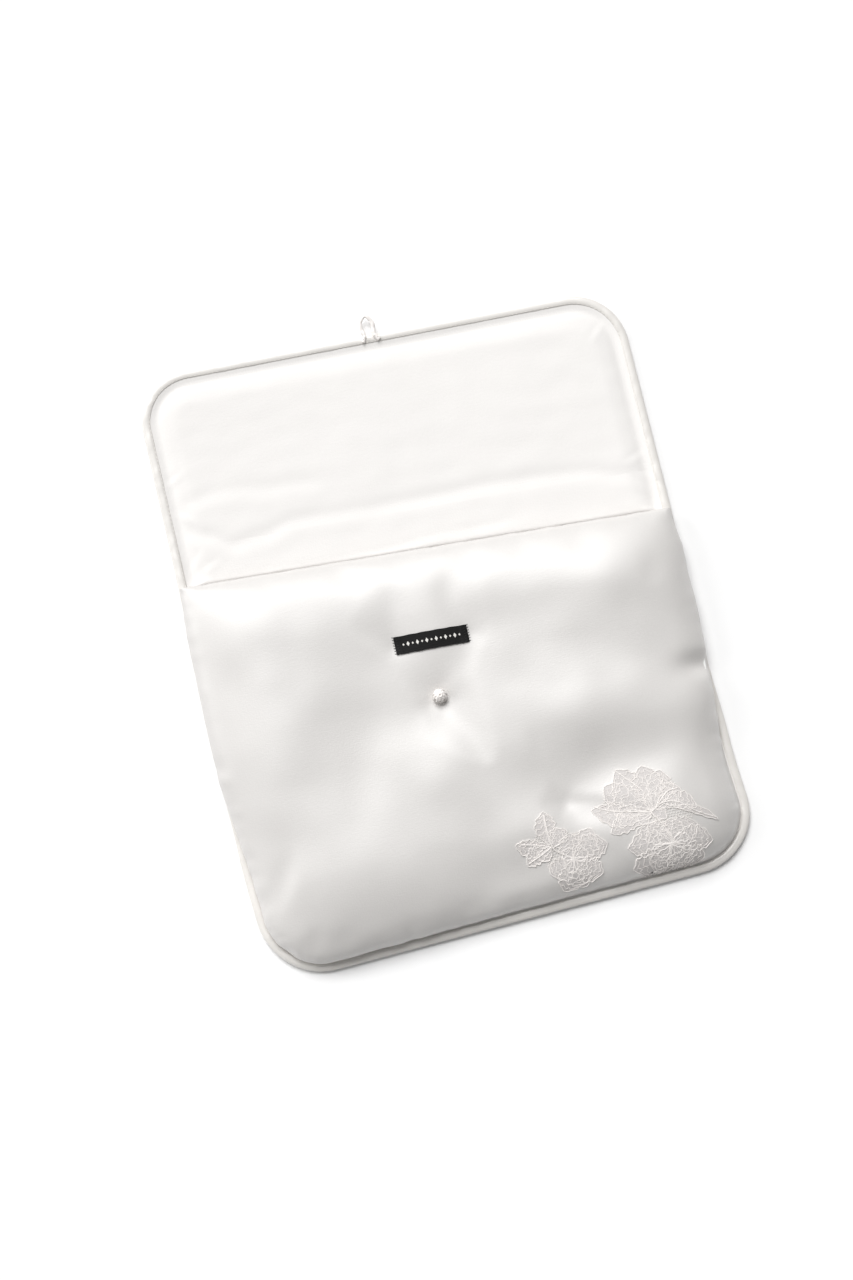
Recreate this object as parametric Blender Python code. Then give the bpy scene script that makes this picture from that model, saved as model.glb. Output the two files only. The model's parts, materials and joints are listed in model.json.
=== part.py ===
"""Padded satin envelope pouch with a fold-over flap, lying open on a flat surface.

The pouch is a padded back, a puffed front panel and the pocket between them, all caught in a
bias binding. Above the pocket's mouth the back runs on through a narrow spine into the flap.
The spine folds up at the lower crease and the flap folds over at the upper crease, so that the
corded loop on the flap's free edge comes down over the knot button on the front panel.

Metres, +Z up, +Y from the pocket's bottom edge to the flap's free edge.
The origin is at the middle of the footprint, on the surface that the pouch lies on.
"""
import math

import bmesh
import bpy
from mathutils import Vector

# Cloth, threads and the space left between neighbours.
SATIN = 0.0005
CLEARANCE = 0.0003
THREAD = 0.0004

# Overall sizes.
POUCH_WIDTH = 0.330
POCKET_HEIGHT = 0.250
FLAP_LENGTH = 0.150
POCKET_CORNER_RADIUS = 0.042
FLAP_CORNER_RADIUS = 0.036
BINDING_WIDTH = 0.006

# Padding, pocket and front panel.
BACK_PADDING = 0.0027
CAVITY_HEIGHT = 0.006
FRONT_PADDING = 0.0098
WADDING_EASE = 0.0006
BULGE_INSET = 0.004
DOME_RUN = 0.046
LIP_RUN = 0.040

# Folds: the lower crease lies this far above the mouth, the upper one a spine further on.
FOLD_SETBACK = 0.014
SPINE_WIDTH = 0.029
CREASE_GAP = 0.0003
CREASE_BAND = 0.003
SLOPE_RUN = 0.0023

# Closure: loop, knot and label share one line, a little left of the middle.
CLOSURE_X = -0.010
LOOP_REACH = 0.014
LOOP_CORD = 0.0018
LOOP_WIDTH = 0.006
LOOP_LEG = 0.0040
LOOP_SEAT_GAP = 0.00025
LOOP_EYE = 0.0075
KNOT_DIAMETER = 0.008
SHANK_DIAMETER = 0.0024
SHANK_HEIGHT = 0.0007

# Woven label.
LABEL_WIDTH = 0.048
LABEL_HEIGHT = 0.0115
LABEL_THICKNESS = 0.0008
LABEL_BELOW_MOUTH = 0.0615
LABEL_TACK_WIDTH = 0.0012
LABEL_TACK_INSET = 0.0010

# Stitching.
STITCH_INSET = 0.0050
MOUTH_STITCH_INSET = 0.016
TACK_WIDTH = 0.0070
TACK_DEPTH = 0.0012

# Lace: centres across the pouch and below the mouth.
LACE_THICKNESS = 0.0006
LACE_LARGE_CENTRE = (0.104, -0.205)
LACE_SMALL_CENTRE = (0.038, -0.211)

ARC_STEPS = 7
DOME_STEPS = 7
CAP_INSET = 0.014

# Heights of the layers, worked out from the sizes above.
LAYER = SATIN + CLEARANCE
RIM_INSET = SATIN + CLEARANCE
NECK_INSET = BINDING_WIDTH + 2 * CLEARANCE
PADDING_BASE = LAYER
LINING_BASE = PADDING_BASE + BACK_PADDING + CLEARANCE
LINING_TOP = LINING_BASE + SATIN
POCKET_BINDING_TOP = 5 * LAYER + SATIN
FLAP_BINDING_TOP = 3 * LAYER + SATIN
CREASE_HEIGHT = max(LINING_TOP, POCKET_BINDING_TOP) + CLEARANCE / 3
CEILING_BASE = LINING_TOP + CAVITY_HEIGHT
CEILING_TOP = CEILING_BASE + SATIN
CREST = CEILING_TOP + CLEARANCE + FRONT_PADDING + WADDING_EASE + SATIN

# Places along Y.
MOUTH_Y = (POCKET_HEIGHT - FLAP_LENGTH - LOOP_REACH) / 2
BOTTOM_Y = MOUTH_Y - POCKET_HEIGHT
LOWER_CREASE_Y = MOUTH_Y + FOLD_SETBACK
UPPER_CREASE_Y = LOWER_CREASE_Y + SPINE_WIDTH
FLAP_EDGE_Y = MOUTH_Y + FLAP_LENGTH
KNOT_Y = LOWER_CREASE_Y - (FLAP_EDGE_Y - UPPER_CREASE_Y) - LOOP_EYE
LABEL_Y = MOUTH_Y - LABEL_BELOW_MOUTH

# Finishes: base colour, roughness, sheen.
OUTER_SATIN = ((0.86, 0.85, 0.83), 0.34, 0.25)
LINING_SATIN = ((0.93, 0.91, 0.87), 0.45, 0.25)
BINDING_SATIN = ((0.90, 0.88, 0.85), 0.38, 0.20)
WADDING = ((0.94, 0.94, 0.92), 0.95, 0.10)
WHITE_THREAD = ((0.92, 0.90, 0.87), 0.60, 0.10)
BLACK_RIBBON = ((0.012, 0.012, 0.014), 0.62, 0.10)
BLACK_THREAD = ((0.02, 0.02, 0.02), 0.65, 0.05)
LACE_COTTON = ((0.87, 0.80, 0.77), 0.80, 0.20)


def clear_scene():
    for item in list(bpy.data.objects):
        bpy.data.objects.remove(item, do_unlink=True)


def finish(item, look):
    colour, roughness, sheen = look
    material = bpy.data.materials.new(item.name + "_finish")
    material.use_nodes = True
    shader = material.node_tree.nodes["Principled BSDF"]
    shader.inputs["Base Color"].default_value = (*colour, 1.0)
    shader.inputs["Roughness"].default_value = roughness
    shader.inputs["Metallic"].default_value = 0.0
    shader.inputs["Sheen Weight"].default_value = sheen
    material.diffuse_color = (*colour, 1.0)
    item.data.materials.append(material)


def add_object(name, mesh_maker, look, axis=(0.0, 0.0, 0.0)):
    """Turn a bmesh into a named object whose origin lies at the given point."""
    mesh_maker.verts.ensure_lookup_table()
    bmesh.ops.translate(mesh_maker, verts=mesh_maker.verts, vec=-Vector(axis))
    bmesh.ops.recalc_face_normals(mesh_maker, faces=mesh_maker.faces)
    mesh = bpy.data.meshes.new(name)
    mesh_maker.to_mesh(mesh)
    mesh_maker.free()
    item = bpy.data.objects.new(name, mesh)
    item.location = axis
    bpy.context.scene.collection.objects.link(item)
    if look is not None:
        finish(item, look)
    return item


def rounded_outline(fold_y, far_y, radius, inset, fold_inset):
    """Corner points of a panel: square at the fold side, rounded at the far side."""
    toward_far = 1.0 if far_y > fold_y else -1.0
    half = POUCH_WIDTH / 2 - inset
    start_y = fold_y + toward_far * fold_inset
    end_y = far_y - toward_far * inset
    corner = max(radius - inset, SATIN)
    centre_y = end_y - toward_far * corner
    points = [Vector((-half, start_y))]
    for side in (-1.0, 1.0):
        centre_x = side * (half - corner)
        for step in range(ARC_STEPS + 1):
            turn = step / ARC_STEPS * math.pi / 2
            if side > 0:
                turn = math.pi / 2 - turn
            points.append(Vector((centre_x + side * corner * math.cos(turn),
                                  centre_y + toward_far * corner * math.sin(turn))))
    points.append(Vector((half, start_y)))
    return points


def straight_outline(low_y, high_y, inset, fold_inset):
    """Corner points of the spine: square at both of its creases."""
    half = POUCH_WIDTH / 2 - inset
    low = low_y + fold_inset
    high = high_y - fold_inset
    return [Vector((-half, low)), Vector((-half, high)), Vector((half, high)), Vector((half, low))]


def ring_solid(rings):
    """A closed solid through rings of equal length, each an outline and its height."""
    maker = bmesh.new()
    loops = []
    for outline, height in rings:
        loops.append([maker.verts.new((point.x, point.y, height)) for point in outline])
    for lower, upper in zip(loops, loops[1:]):
        count = len(lower)
        for index in range(count):
            following = (index + 1) % count
            maker.faces.new((lower[index], lower[following], upper[following], upper[index]))
    maker.faces.new(list(reversed(loops[0])))
    maker.faces.new(loops[-1])
    return maker


def swept_strip(stations, section):
    """Sweep a closed section of (inset, height) corners along open outline stations."""
    maker = bmesh.new()
    loops = []
    for edge_point, inward in stations:
        loop = []
        for inset, height in section:
            place = edge_point + inward * inset
            loop.append(maker.verts.new((place.x, place.y, height)))
        loops.append(loop)
    for here, there in zip(loops, loops[1:]):
        count = len(here)
        for index in range(count):
            following = (index + 1) % count
            maker.faces.new((here[index], here[following], there[following], there[index]))
    maker.faces.new(list(reversed(loops[0])))
    maker.faces.new(loops[-1])
    return maker


def edge_stations(fold_y, far_y, radius, fold_inset):
    """Points on the panel's outer edge with their inward directions, from crease to crease."""
    outer = rounded_outline(fold_y, far_y, radius, 0.0, fold_inset)
    inner = rounded_outline(fold_y, far_y, radius, LAYER, fold_inset)
    return [(place, (inside - place) / LAYER) for place, inside in zip(outer, inner)]


def tube(points, radius, sides=8):
    """A round cord through points that lie in one level plane."""
    maker = bmesh.new()
    up = Vector((0.0, 0.0, 1.0))
    loops = []
    for index, place in enumerate(points):
        before = points[max(index - 1, 0)]
        after = points[min(index + 1, len(points) - 1)]
        along = (after - before).normalized()
        across = along.cross(up).normalized()
        loop = []
        for step in range(sides):
            turn = step / sides * math.tau
            offset = across * math.cos(turn) + up * math.sin(turn)
            loop.append(maker.verts.new(place + offset * radius))
        loops.append(loop)
    for here, there in zip(loops, loops[1:]):
        for index in range(sides):
            following = (index + 1) % sides
            maker.faces.new((here[index], here[following], there[following], there[index]))
    maker.faces.new(list(reversed(loops[0])))
    maker.faces.new(loops[-1])
    return maker


def block(low, high):
    maker = bmesh.new()
    bmesh.ops.create_cube(maker, size=1.0)
    middle = (Vector(low) + Vector(high)) / 2
    size = Vector(high) - Vector(low)
    bmesh.ops.scale(maker, verts=maker.verts, vec=size)
    bmesh.ops.translate(maker, verts=maker.verts, vec=middle)
    return maker


def add_cutter(name, maker):
    cutter = add_object(name, maker, None)
    cutter.hide_render = True
    cutter.display_type = "WIRE"
    return cutter


def carve(item, cutter, operation="DIFFERENCE"):
    boolean = item.modifiers.new(cutter.name, "BOOLEAN")
    boolean.operation = operation
    boolean.solver = "EXACT"
    boolean.object = cutter


def pocket_outline(inset, fold_inset, top_y=LOWER_CREASE_Y):
    return rounded_outline(top_y, BOTTOM_Y, POCKET_CORNER_RADIUS, inset, fold_inset)


def flap_outline(inset, fold_inset):
    return rounded_outline(UPPER_CREASE_Y, FLAP_EDGE_Y, FLAP_CORNER_RADIUS, inset, fold_inset)


def spine_outline(inset, fold_inset):
    return straight_outline(LOWER_CREASE_Y, UPPER_CREASE_Y, inset, fold_inset)


def dished_panel(outline, rim_base, middle_base, slope_start):
    """A satin panel whose rim lies in the bound edge and whose middle steps up or down."""
    edge_gap = CREASE_GAP / 2
    slope_end = slope_start + SLOPE_RUN
    band_end = CREASE_BAND + SLOPE_RUN
    lower = [(outline(CAP_INSET, CAP_INSET), middle_base),
             (outline(slope_end, band_end), middle_base),
             (outline(slope_start, CREASE_BAND), rim_base),
             (outline(RIM_INSET, edge_gap), rim_base)]
    upper = [(points, height + SATIN) for points, height in reversed(lower)]
    return ring_solid(lower + upper)


def wadding_slab(outline, slope_start):
    inset = slope_start + SLOPE_RUN + CLEARANCE
    band = CREASE_BAND + SLOPE_RUN + CLEARANCE
    return ring_solid([(outline(inset, band), PADDING_BASE),
                       (outline(inset, band), PADDING_BASE + BACK_PADDING)])


def binding_section(top):
    """A C-shaped fold of satin tape, open toward the panel."""
    return [(BINDING_WIDTH, 0.0), (0.0, 0.0), (0.0, top), (BINDING_WIDTH, top),
            (BINDING_WIDTH, top - SATIN), (SATIN, top - SATIN),
            (SATIN, SATIN), (BINDING_WIDTH, SATIN)]


def stitch_section(top):
    base = top + CLEARANCE
    near = STITCH_INSET - THREAD / 2
    far = STITCH_INSET + THREAD / 2
    return [(near, base), (near, base + THREAD), (far, base + THREAD), (far, base)]


def dome_rings(grow):
    """The front panel's crown from its widest line to its crest, moved outward by grow."""
    rings = []
    for step in range(DOME_STEPS + 1):
        turn = step / DOME_STEPS * math.pi / 2
        inset = BULGE_INSET - grow + DOME_RUN * (1 - math.cos(turn))
        lip = LIP_RUN * (1 - math.cos(turn)) - grow
        height = CEILING_TOP + (CREST + grow - CEILING_TOP) * math.sin(turn)
        rings.append((pocket_outline(inset, lip, MOUTH_Y), height))
    return rings


def pocket_void(name, inset, top):
    """The open space under the front panel, running out through the mouth."""
    past_mouth = -CAP_INSET
    outline = pocket_outline(inset, past_mouth, MOUTH_Y)
    return add_cutter(name, ring_solid([(outline, -CLEARANCE), (outline, top)]))


def build_back():
    outer_slope = NECK_INSET
    lining_slope = NECK_INSET + 2 * LAYER
    add_object("back_outer", dished_panel(pocket_outline, LAYER, 0.0, outer_slope), OUTER_SATIN)
    add_object("back_wadding", wadding_slab(pocket_outline, lining_slope), WADDING)
    add_object("back_lining", dished_panel(pocket_outline, 2 * LAYER, LINING_BASE, lining_slope),
               LINING_SATIN)


def build_front_lining():
    wall_inset = NECK_INSET + LAYER
    rim = pocket_outline(RIM_INSET, 0.0, MOUTH_Y)
    wall = pocket_outline(wall_inset, CLEARANCE, MOUTH_Y)
    rim_base = 3 * LAYER
    maker = ring_solid([(rim, rim_base), (rim, rim_base + SATIN),
                        (wall, rim_base + SATIN), (wall, CEILING_TOP)])
    lining = add_object("front_lining", maker, LINING_SATIN)
    carve(lining, pocket_void("pocket_space", wall_inset + SATIN, CEILING_BASE))


def build_front_wadding():
    rings = dome_rings(-SATIN - WADDING_EASE)
    base_outline, _ = rings[0]
    rings[0] = (base_outline, CEILING_TOP + CLEARANCE)
    add_object("front_wadding", ring_solid(rings), WADDING)


def build_front_outer():
    rim = pocket_outline(RIM_INSET, 0.0, MOUTH_Y)
    neck = pocket_outline(NECK_INSET, CLEARANCE, MOUTH_Y)
    rim_base = 4 * LAYER
    skirt = [(rim, rim_base), (rim, rim_base + SATIN), (neck, rim_base + SATIN),
             (neck, POCKET_BINDING_TOP + CLEARANCE)]
    panel = add_object("front_outer", ring_solid(skirt + dome_rings(0.0)), OUTER_SATIN)
    carve(panel, add_cutter("wadding_space", ring_solid(dome_rings(-SATIN))))
    carve(panel, pocket_void("lining_space", NECK_INSET + SATIN, CEILING_TOP + CLEARANCE))


def build_pocket_edge():
    stations = edge_stations(LOWER_CREASE_Y, BOTTOM_Y, POCKET_CORNER_RADIUS, CREASE_GAP / 2)
    add_object("pocket_binding", swept_strip(stations, binding_section(POCKET_BINDING_TOP)),
               BINDING_SATIN)
    inner = edge_stations(LOWER_CREASE_Y, BOTTOM_Y, POCKET_CORNER_RADIUS, CREASE_BAND)
    add_object("pocket_topstitch", swept_strip(inner, stitch_section(POCKET_BINDING_TOP)),
               WHITE_THREAD)
    reach = POUCH_WIDTH / 2 - MOUTH_STITCH_INSET
    low = (-reach, MOUTH_Y + CLEARANCE, CEILING_TOP)
    high = (reach, MOUTH_Y + CLEARANCE + THREAD, CEILING_TOP + THREAD)
    add_object("mouth_seam_thread", block(low, high), WHITE_THREAD)


def build_spine():
    crease = (0.0, LOWER_CREASE_Y, CREASE_HEIGHT)
    slope = NECK_INSET
    add_object("spine_outer", dished_panel(spine_outline, LAYER, 0.0, slope), OUTER_SATIN, crease)
    add_object("spine_wadding", wadding_slab(spine_outline, slope), WADDING, crease)
    add_object("spine_lining", dished_panel(spine_outline, 2 * LAYER, LINING_BASE, slope),
               LINING_SATIN, crease)
    low = LOWER_CREASE_Y + CREASE_GAP / 2
    high = UPPER_CREASE_Y - CREASE_GAP / 2
    for side, word in ((-1.0, "left"), (1.0, "right")):
        edge_x = side * POUCH_WIDTH / 2
        inward = Vector((-side, 0.0))
        stations = [(Vector((edge_x, low)), inward), (Vector((edge_x, high)), inward)]
        add_object("spine_binding_" + word,
                   swept_strip(stations, binding_section(FLAP_BINDING_TOP)),
                   BINDING_SATIN, crease)
        short = [(place, inward) for place in (Vector((edge_x, low + CREASE_BAND)),
                                               Vector((edge_x, high - CREASE_BAND)))]
        add_object("spine_topstitch_" + word,
                   swept_strip(short, stitch_section(FLAP_BINDING_TOP)), WHITE_THREAD, crease)


def build_flap():
    crease = (0.0, UPPER_CREASE_Y, CREASE_HEIGHT)
    slope = NECK_INSET
    add_object("flap_outer", dished_panel(flap_outline, LAYER, 0.0, slope), OUTER_SATIN, crease)
    add_object("flap_wadding", wadding_slab(flap_outline, slope), WADDING, crease)
    add_object("flap_lining", dished_panel(flap_outline, 2 * LAYER, LINING_BASE, slope),
               LINING_SATIN, crease)
    stations = edge_stations(UPPER_CREASE_Y, FLAP_EDGE_Y, FLAP_CORNER_RADIUS, CREASE_GAP / 2)
    add_object("flap_binding", swept_strip(stations, binding_section(FLAP_BINDING_TOP)),
               BINDING_SATIN, crease)
    inner = edge_stations(UPPER_CREASE_Y, FLAP_EDGE_Y, FLAP_CORNER_RADIUS, CREASE_BAND)
    add_object("flap_topstitch", swept_strip(inner, stitch_section(FLAP_BINDING_TOP)),
               WHITE_THREAD, crease)


def build_loop():
    """Two cord legs sewn over the binding, and the free loop that swings at the flap's edge."""
    radius = LOOP_CORD / 2
    spread = (LOOP_WIDTH - LOOP_CORD) / 2
    height = FLAP_BINDING_TOP + CLEARANCE + radius
    crease = (0.0, UPPER_CREASE_Y, CREASE_HEIGHT)
    for side, word in ((-1.0, "left"), (1.0, "right")):
        x = CLOSURE_X + side * spread
        ends = [Vector((x, FLAP_EDGE_Y - LOOP_LEG, height)),
                Vector((x, FLAP_EDGE_Y - LOOP_SEAT_GAP, height))]
        add_object("loop_leg_" + word, tube(ends, radius), WHITE_THREAD, crease)
    tack_base = height + radius + CLEARANCE
    tack_y = FLAP_EDGE_Y - LOOP_LEG / 2
    low = (CLOSURE_X - TACK_WIDTH / 2, tack_y - TACK_DEPTH / 2, tack_base)
    high = (CLOSURE_X + TACK_WIDTH / 2, tack_y + TACK_DEPTH / 2, tack_base + THREAD)
    add_object("loop_tack", block(low, high), WHITE_THREAD, crease)
    reach = LOOP_REACH - radius
    route = []
    arch_start = reach - spread * 1.6
    route.append(Vector((CLOSURE_X - spread, FLAP_EDGE_Y + LOOP_SEAT_GAP, height)))
    arch_steps = 8
    for step in range(arch_steps + 1):
        turn = math.pi * (1 - step / arch_steps)
        route.append(Vector((CLOSURE_X + spread * math.cos(turn),
                             FLAP_EDGE_Y + arch_start + (reach - arch_start) * math.sin(turn),
                             height)))
    route.append(Vector((CLOSURE_X + spread, FLAP_EDGE_Y + LOOP_SEAT_GAP, height)))
    add_object("button_loop", tube(route, radius), WHITE_THREAD, (CLOSURE_X, FLAP_EDGE_Y, height))


def build_button():
    base = CREST + CLEARANCE
    maker = bmesh.new()
    bmesh.ops.create_cone(maker, cap_ends=True, segments=12, radius1=SHANK_DIAMETER / 2,
                          radius2=SHANK_DIAMETER / 2, depth=SHANK_HEIGHT)
    middle = Vector((CLOSURE_X, KNOT_Y, base + SHANK_HEIGHT / 2))
    bmesh.ops.translate(maker, verts=maker.verts, vec=middle)
    add_object("button_shank", maker, WHITE_THREAD)
    maker = bmesh.new()
    bmesh.ops.create_uvsphere(maker, u_segments=16, v_segments=10, radius=KNOT_DIAMETER / 2)
    centre_z = base + SHANK_HEIGHT + CLEARANCE + KNOT_DIAMETER / 2
    bmesh.ops.translate(maker, verts=maker.verts, vec=Vector((CLOSURE_X, KNOT_Y, centre_z)))
    knot = add_object("knot_button", maker, WHITE_THREAD)
    knot.data.shade_smooth()


def build_label():
    base = CREST + CLEARANCE
    top = base + LABEL_THICKNESS
    low = (CLOSURE_X - LABEL_WIDTH / 2, LABEL_Y - LABEL_HEIGHT / 2, base)
    high = (CLOSURE_X + LABEL_WIDTH / 2, LABEL_Y + LABEL_HEIGHT / 2, top)
    add_object("woven_label", block(low, high), BLACK_RIBBON)
    half_tack = LABEL_HEIGHT / 2 - LABEL_TACK_INSET
    for side, word in ((-1.0, "left"), (1.0, "right")):
        centre_x = CLOSURE_X + side * (LABEL_WIDTH / 2 - LABEL_TACK_INSET - LABEL_TACK_WIDTH / 2)
        low = (centre_x - LABEL_TACK_WIDTH / 2, LABEL_Y - half_tack, top + CLEARANCE)
        high = (centre_x + LABEL_TACK_WIDTH / 2, LABEL_Y + half_tack, top + CLEARANCE + THREAD)
        add_object("label_stitch_" + word, block(low, high), BLACK_THREAD)


def scalloped(centre, radius_x, radius_y, lobes, depth, lean):
    """A closed leafy outline: an oval with scallops, leaning toward one side."""
    points = []
    steps = lobes * 6
    for step in range(steps):
        turn = step / steps * math.tau
        swell = 1.0 + depth * math.cos(lobes * turn)
        x = radius_x * swell * math.cos(turn)
        y = radius_y * swell * math.sin(turn)
        points.append(Vector((centre[0] + x + lean * y, MOUTH_Y + centre[1] + y)))
    return points


def build_lace():
    """Each spray is a thin sheet that follows the panel's crown inside a scalloped outline."""
    sprays = (("lace_spray_large", LACE_LARGE_CENTRE, 0.030, 0.032, 9, 0.06, -0.25),
              ("lace_spray_small", LACE_SMALL_CENTRE, 0.027, 0.021, 7, 0.10, -0.20))
    for name, centre, radius_x, radius_y, lobes, depth, lean in sprays:
        outline = scalloped(centre, radius_x, radius_y, lobes, depth, lean)
        base = CEILING_TOP
        spray = add_object(name, ring_solid([(outline, base), (outline, CREST * 2)]), LACE_COTTON)
        top = add_cutter(name + "_top", ring_solid(dome_rings(CLEARANCE + LACE_THICKNESS)))
        under = add_cutter(name + "_under", ring_solid(dome_rings(CLEARANCE)))
        carve(spray, top, "INTERSECT")
        carve(spray, under)


def main():
    clear_scene()
    build_back()
    build_front_lining()
    build_front_wadding()
    build_front_outer()
    build_pocket_edge()
    build_spine()
    build_flap()
    build_loop()
    build_button()
    build_label()
    build_lace()


main()
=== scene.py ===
import json
import math

import bmesh
import bpy
from bpy.props import FloatProperty, FloatVectorProperty, IntProperty, PointerProperty
from mathutils import Matrix, Vector, noise
from mathutils.bvhtree import BVHTree


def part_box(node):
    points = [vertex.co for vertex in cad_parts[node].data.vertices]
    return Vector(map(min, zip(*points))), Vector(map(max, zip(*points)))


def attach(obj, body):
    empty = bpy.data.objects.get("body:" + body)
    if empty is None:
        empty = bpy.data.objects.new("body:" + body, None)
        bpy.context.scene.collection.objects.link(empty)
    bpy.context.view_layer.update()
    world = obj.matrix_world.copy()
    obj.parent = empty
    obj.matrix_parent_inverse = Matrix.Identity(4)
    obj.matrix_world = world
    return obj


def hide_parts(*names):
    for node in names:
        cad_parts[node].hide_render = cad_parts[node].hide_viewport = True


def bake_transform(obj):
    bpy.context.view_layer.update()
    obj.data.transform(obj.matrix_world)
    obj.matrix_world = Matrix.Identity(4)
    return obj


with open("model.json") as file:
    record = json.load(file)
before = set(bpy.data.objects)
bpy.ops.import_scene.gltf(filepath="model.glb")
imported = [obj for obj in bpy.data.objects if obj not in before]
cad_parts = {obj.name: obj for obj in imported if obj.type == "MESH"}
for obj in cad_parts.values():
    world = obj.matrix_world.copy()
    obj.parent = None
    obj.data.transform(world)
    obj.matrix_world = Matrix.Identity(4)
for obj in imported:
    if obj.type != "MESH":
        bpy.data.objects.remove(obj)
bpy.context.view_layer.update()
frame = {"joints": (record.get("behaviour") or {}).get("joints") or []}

bl_info = {
    "name": "Padded Satin Pouch",
    "version": (1, 0, 0),
    "blender": (4, 5, 0),
    "location": "View3D > Sidebar > Pouch",
    "description": "Dresses a ring bearer's padded satin pouch around its working frame",
    "category": "Object",
}

# The pouch's landmarks, from the frame.
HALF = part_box("pocket_binding")[1].x
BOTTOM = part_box("pocket_binding")[0].y
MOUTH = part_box("front_outer")[1].y
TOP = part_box("flap_binding")[1].y
HINGES = {joint["name"]: Vector(joint["pos_m"]) for joint in frame["joints"]}
LOWER_CREASE = HINGES["spine_fold"].y
UPPER_CREASE = HINGES["flap_fold"].y
LOOP_HINGE = HINGES["loop_swing"]
SPLIT = (LOWER_CREASE + UPPER_CREASE) / 2
LABEL_LOW, LABEL_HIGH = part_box("woven_label")
KNOT_LOW, KNOT_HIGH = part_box("knot_button")
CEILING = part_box("front_lining")[1].z
LINING_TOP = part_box("back_lining")[1].z

# How the pouch lies: (line, shift of its right end along the table), (line, shift of its middle).
SLOPES = ((-0.207, 0.0050), (0.043, -0.0090), (0.057, -0.0080), (0.193, -0.0035))
LEANS = ((-0.207, 0.0035), (-0.120, -0.0005), (-0.063, -0.0022), (0.050, -0.0015), (0.193, -0.0022))
FLAP_STRETCH = 0.0010
# How far the label and the knot are sewn from their places in the frame.
CLOSURE_SHIFT = -0.0015
KNOT_SHIFT = (-0.0043, 0.0021)
# A line above the whole pattern, for panels whose upper side is left open.
OPEN_TOP = 1.0

made = {}


def smooth(t):
    """An eased step from 0 to 1 as t goes from 0 to 1."""
    t = min(max(t, 0.0), 1.0)
    return t * t * (3 - 2 * t)


def along(knots, place):
    """A value that runs smoothly through given (place, value) knots."""
    if place <= knots[0][0]:
        return knots[0][1]
    for (p0, v0), (p1, v1) in zip(knots, knots[1:]):
        if place <= p1:
            return v0 + (v1 - v0) * smooth((place - p0) / (p1 - p0))
    return knots[-1][1]


def hump(distance, width):
    """A bell curve: 1 at distance nought, and fading over the width."""
    return math.exp(-((distance / width) ** 2))


def ripple(x, y, wavelength, seed=0.0):
    """Smooth noise between about -1 and 1 over the cloth."""
    return noise.noise(Vector((x / wavelength, y / wavelength, seed)))


def as_laid(x, y):
    """Where a point of the cut pattern comes to lie on the table."""
    stretch = FLAP_STRETCH * smooth((y - UPPER_CREASE) / (TOP - UPPER_CREASE))
    return x + along(LEANS, y), y + along(SLOPES, y) * x / HALF + stretch


def round_corner(x, y, half, low, high, low_radius, high_radius):
    """Move a point of a square grid onto a panel with rounded corners."""
    for radius, centre, way in (
        (low_radius, low + low_radius, -1),
        (high_radius, high - high_radius, 1),
    ):
        if radius <= 0:
            continue
        p = (abs(x) - (half - radius)) / radius
        q = (y - centre) * way / radius
        if p > 0 and q > 0:
            turned = radius * p * math.sqrt(1 - q * q / 2)
            x = math.copysign(half - radius + turned, x)
            y = centre + way * radius * q * math.sqrt(1 - p * p / 2)
            break
    return x, y


def from_edge(x, y, half, low, high, low_radius, high_radius):
    """Distance inside a rounded panel's edge, and the direction straight out of it."""
    side = half - abs(x)
    out_x = math.copysign(1.0, x)
    gap, radius, out_y = y - low, low_radius, -1.0
    if high - y < gap:
        gap, radius, out_y = high - y, high_radius, 1.0
    if side < radius and gap < radius:
        across, down = radius - side, radius - gap
        reach = math.hypot(across, down)
        return radius - reach, out_x * across / reach, out_y * down / reach
    if side < gap:
        return side, out_x, 0.0
    return gap, 0.0, out_y


def turns(count):
    """Even angles once round a circle."""
    return [2 * math.pi * i / count for i in range(count)]


def spaced(start, end, step):
    """Even places from start to end, about a step apart."""
    count = max(2, round(abs(end - start) / step))
    return [start + (end - start) * i / count for i in range(count + 1)]


def new_mesh(name, points, faces, soft_angle=50):
    mesh = bpy.data.meshes.new(name)
    mesh.from_pydata([tuple(p) for p in points], [], faces)
    mesh.validate()
    mesh.shade_smooth()
    mesh.set_sharp_from_angle(angle=math.radians(soft_angle))
    item = bpy.data.objects.new(name, mesh)
    bpy.context.scene.collection.objects.link(item)
    return item


def grid_faces(rows, columns, start=0, flip=False):
    faces = []
    for r in range(rows - 1):
        for c in range(columns - 1):
            a = start + r * columns + c
            face = (a, a + 1, a + columns + 1, a + columns)
            faces.append(face[::-1] if flip else face)
    return faces


def closed_faces(rows, columns):
    """Faces of an upper grid, of a lower grid of as many points, and of the rim between them."""
    count = rows * columns
    faces = grid_faces(rows, columns) + grid_faces(rows, columns, count, flip=True)
    rim = list(range(columns))
    rim += [r * columns + columns - 1 for r in range(1, rows)]
    rim += [(rows - 1) * columns + c for c in range(columns - 2, -1, -1)]
    rim += [r * columns for r in range(rows - 2, 0, -1)]
    return faces + [(a, a + count, b + count, b) for a, b in zip(rim, rim[1:] + rim[:1])]


def slab(name, xs, ys, place):
    """A closed piece: place gives its upper and its lower point at each crossing of xs and ys."""
    pairs = [place(x, y) for y in ys for x in xs]
    points = [top for top, _ in pairs] + [base for _, base in pairs]
    return new_mesh(name, points, closed_faces(len(ys), len(xs)))


def ring_faces(rings, sides, closed=False):
    """Faces of a tube from ring to ring, with both ends capped unless it is closed."""
    faces = []
    for i in range(rings if closed else rings - 1):
        a, b = i * sides, ((i + 1) % rings) * sides
        for k in range(sides):
            n = (k + 1) % sides
            faces.append((a + k, a + n, b + n, b + k))
    if not closed:
        faces.append(tuple(range(sides))[::-1])
        faces.append(tuple(range((rings - 1) * sides, rings * sides)))
    return faces


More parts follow.
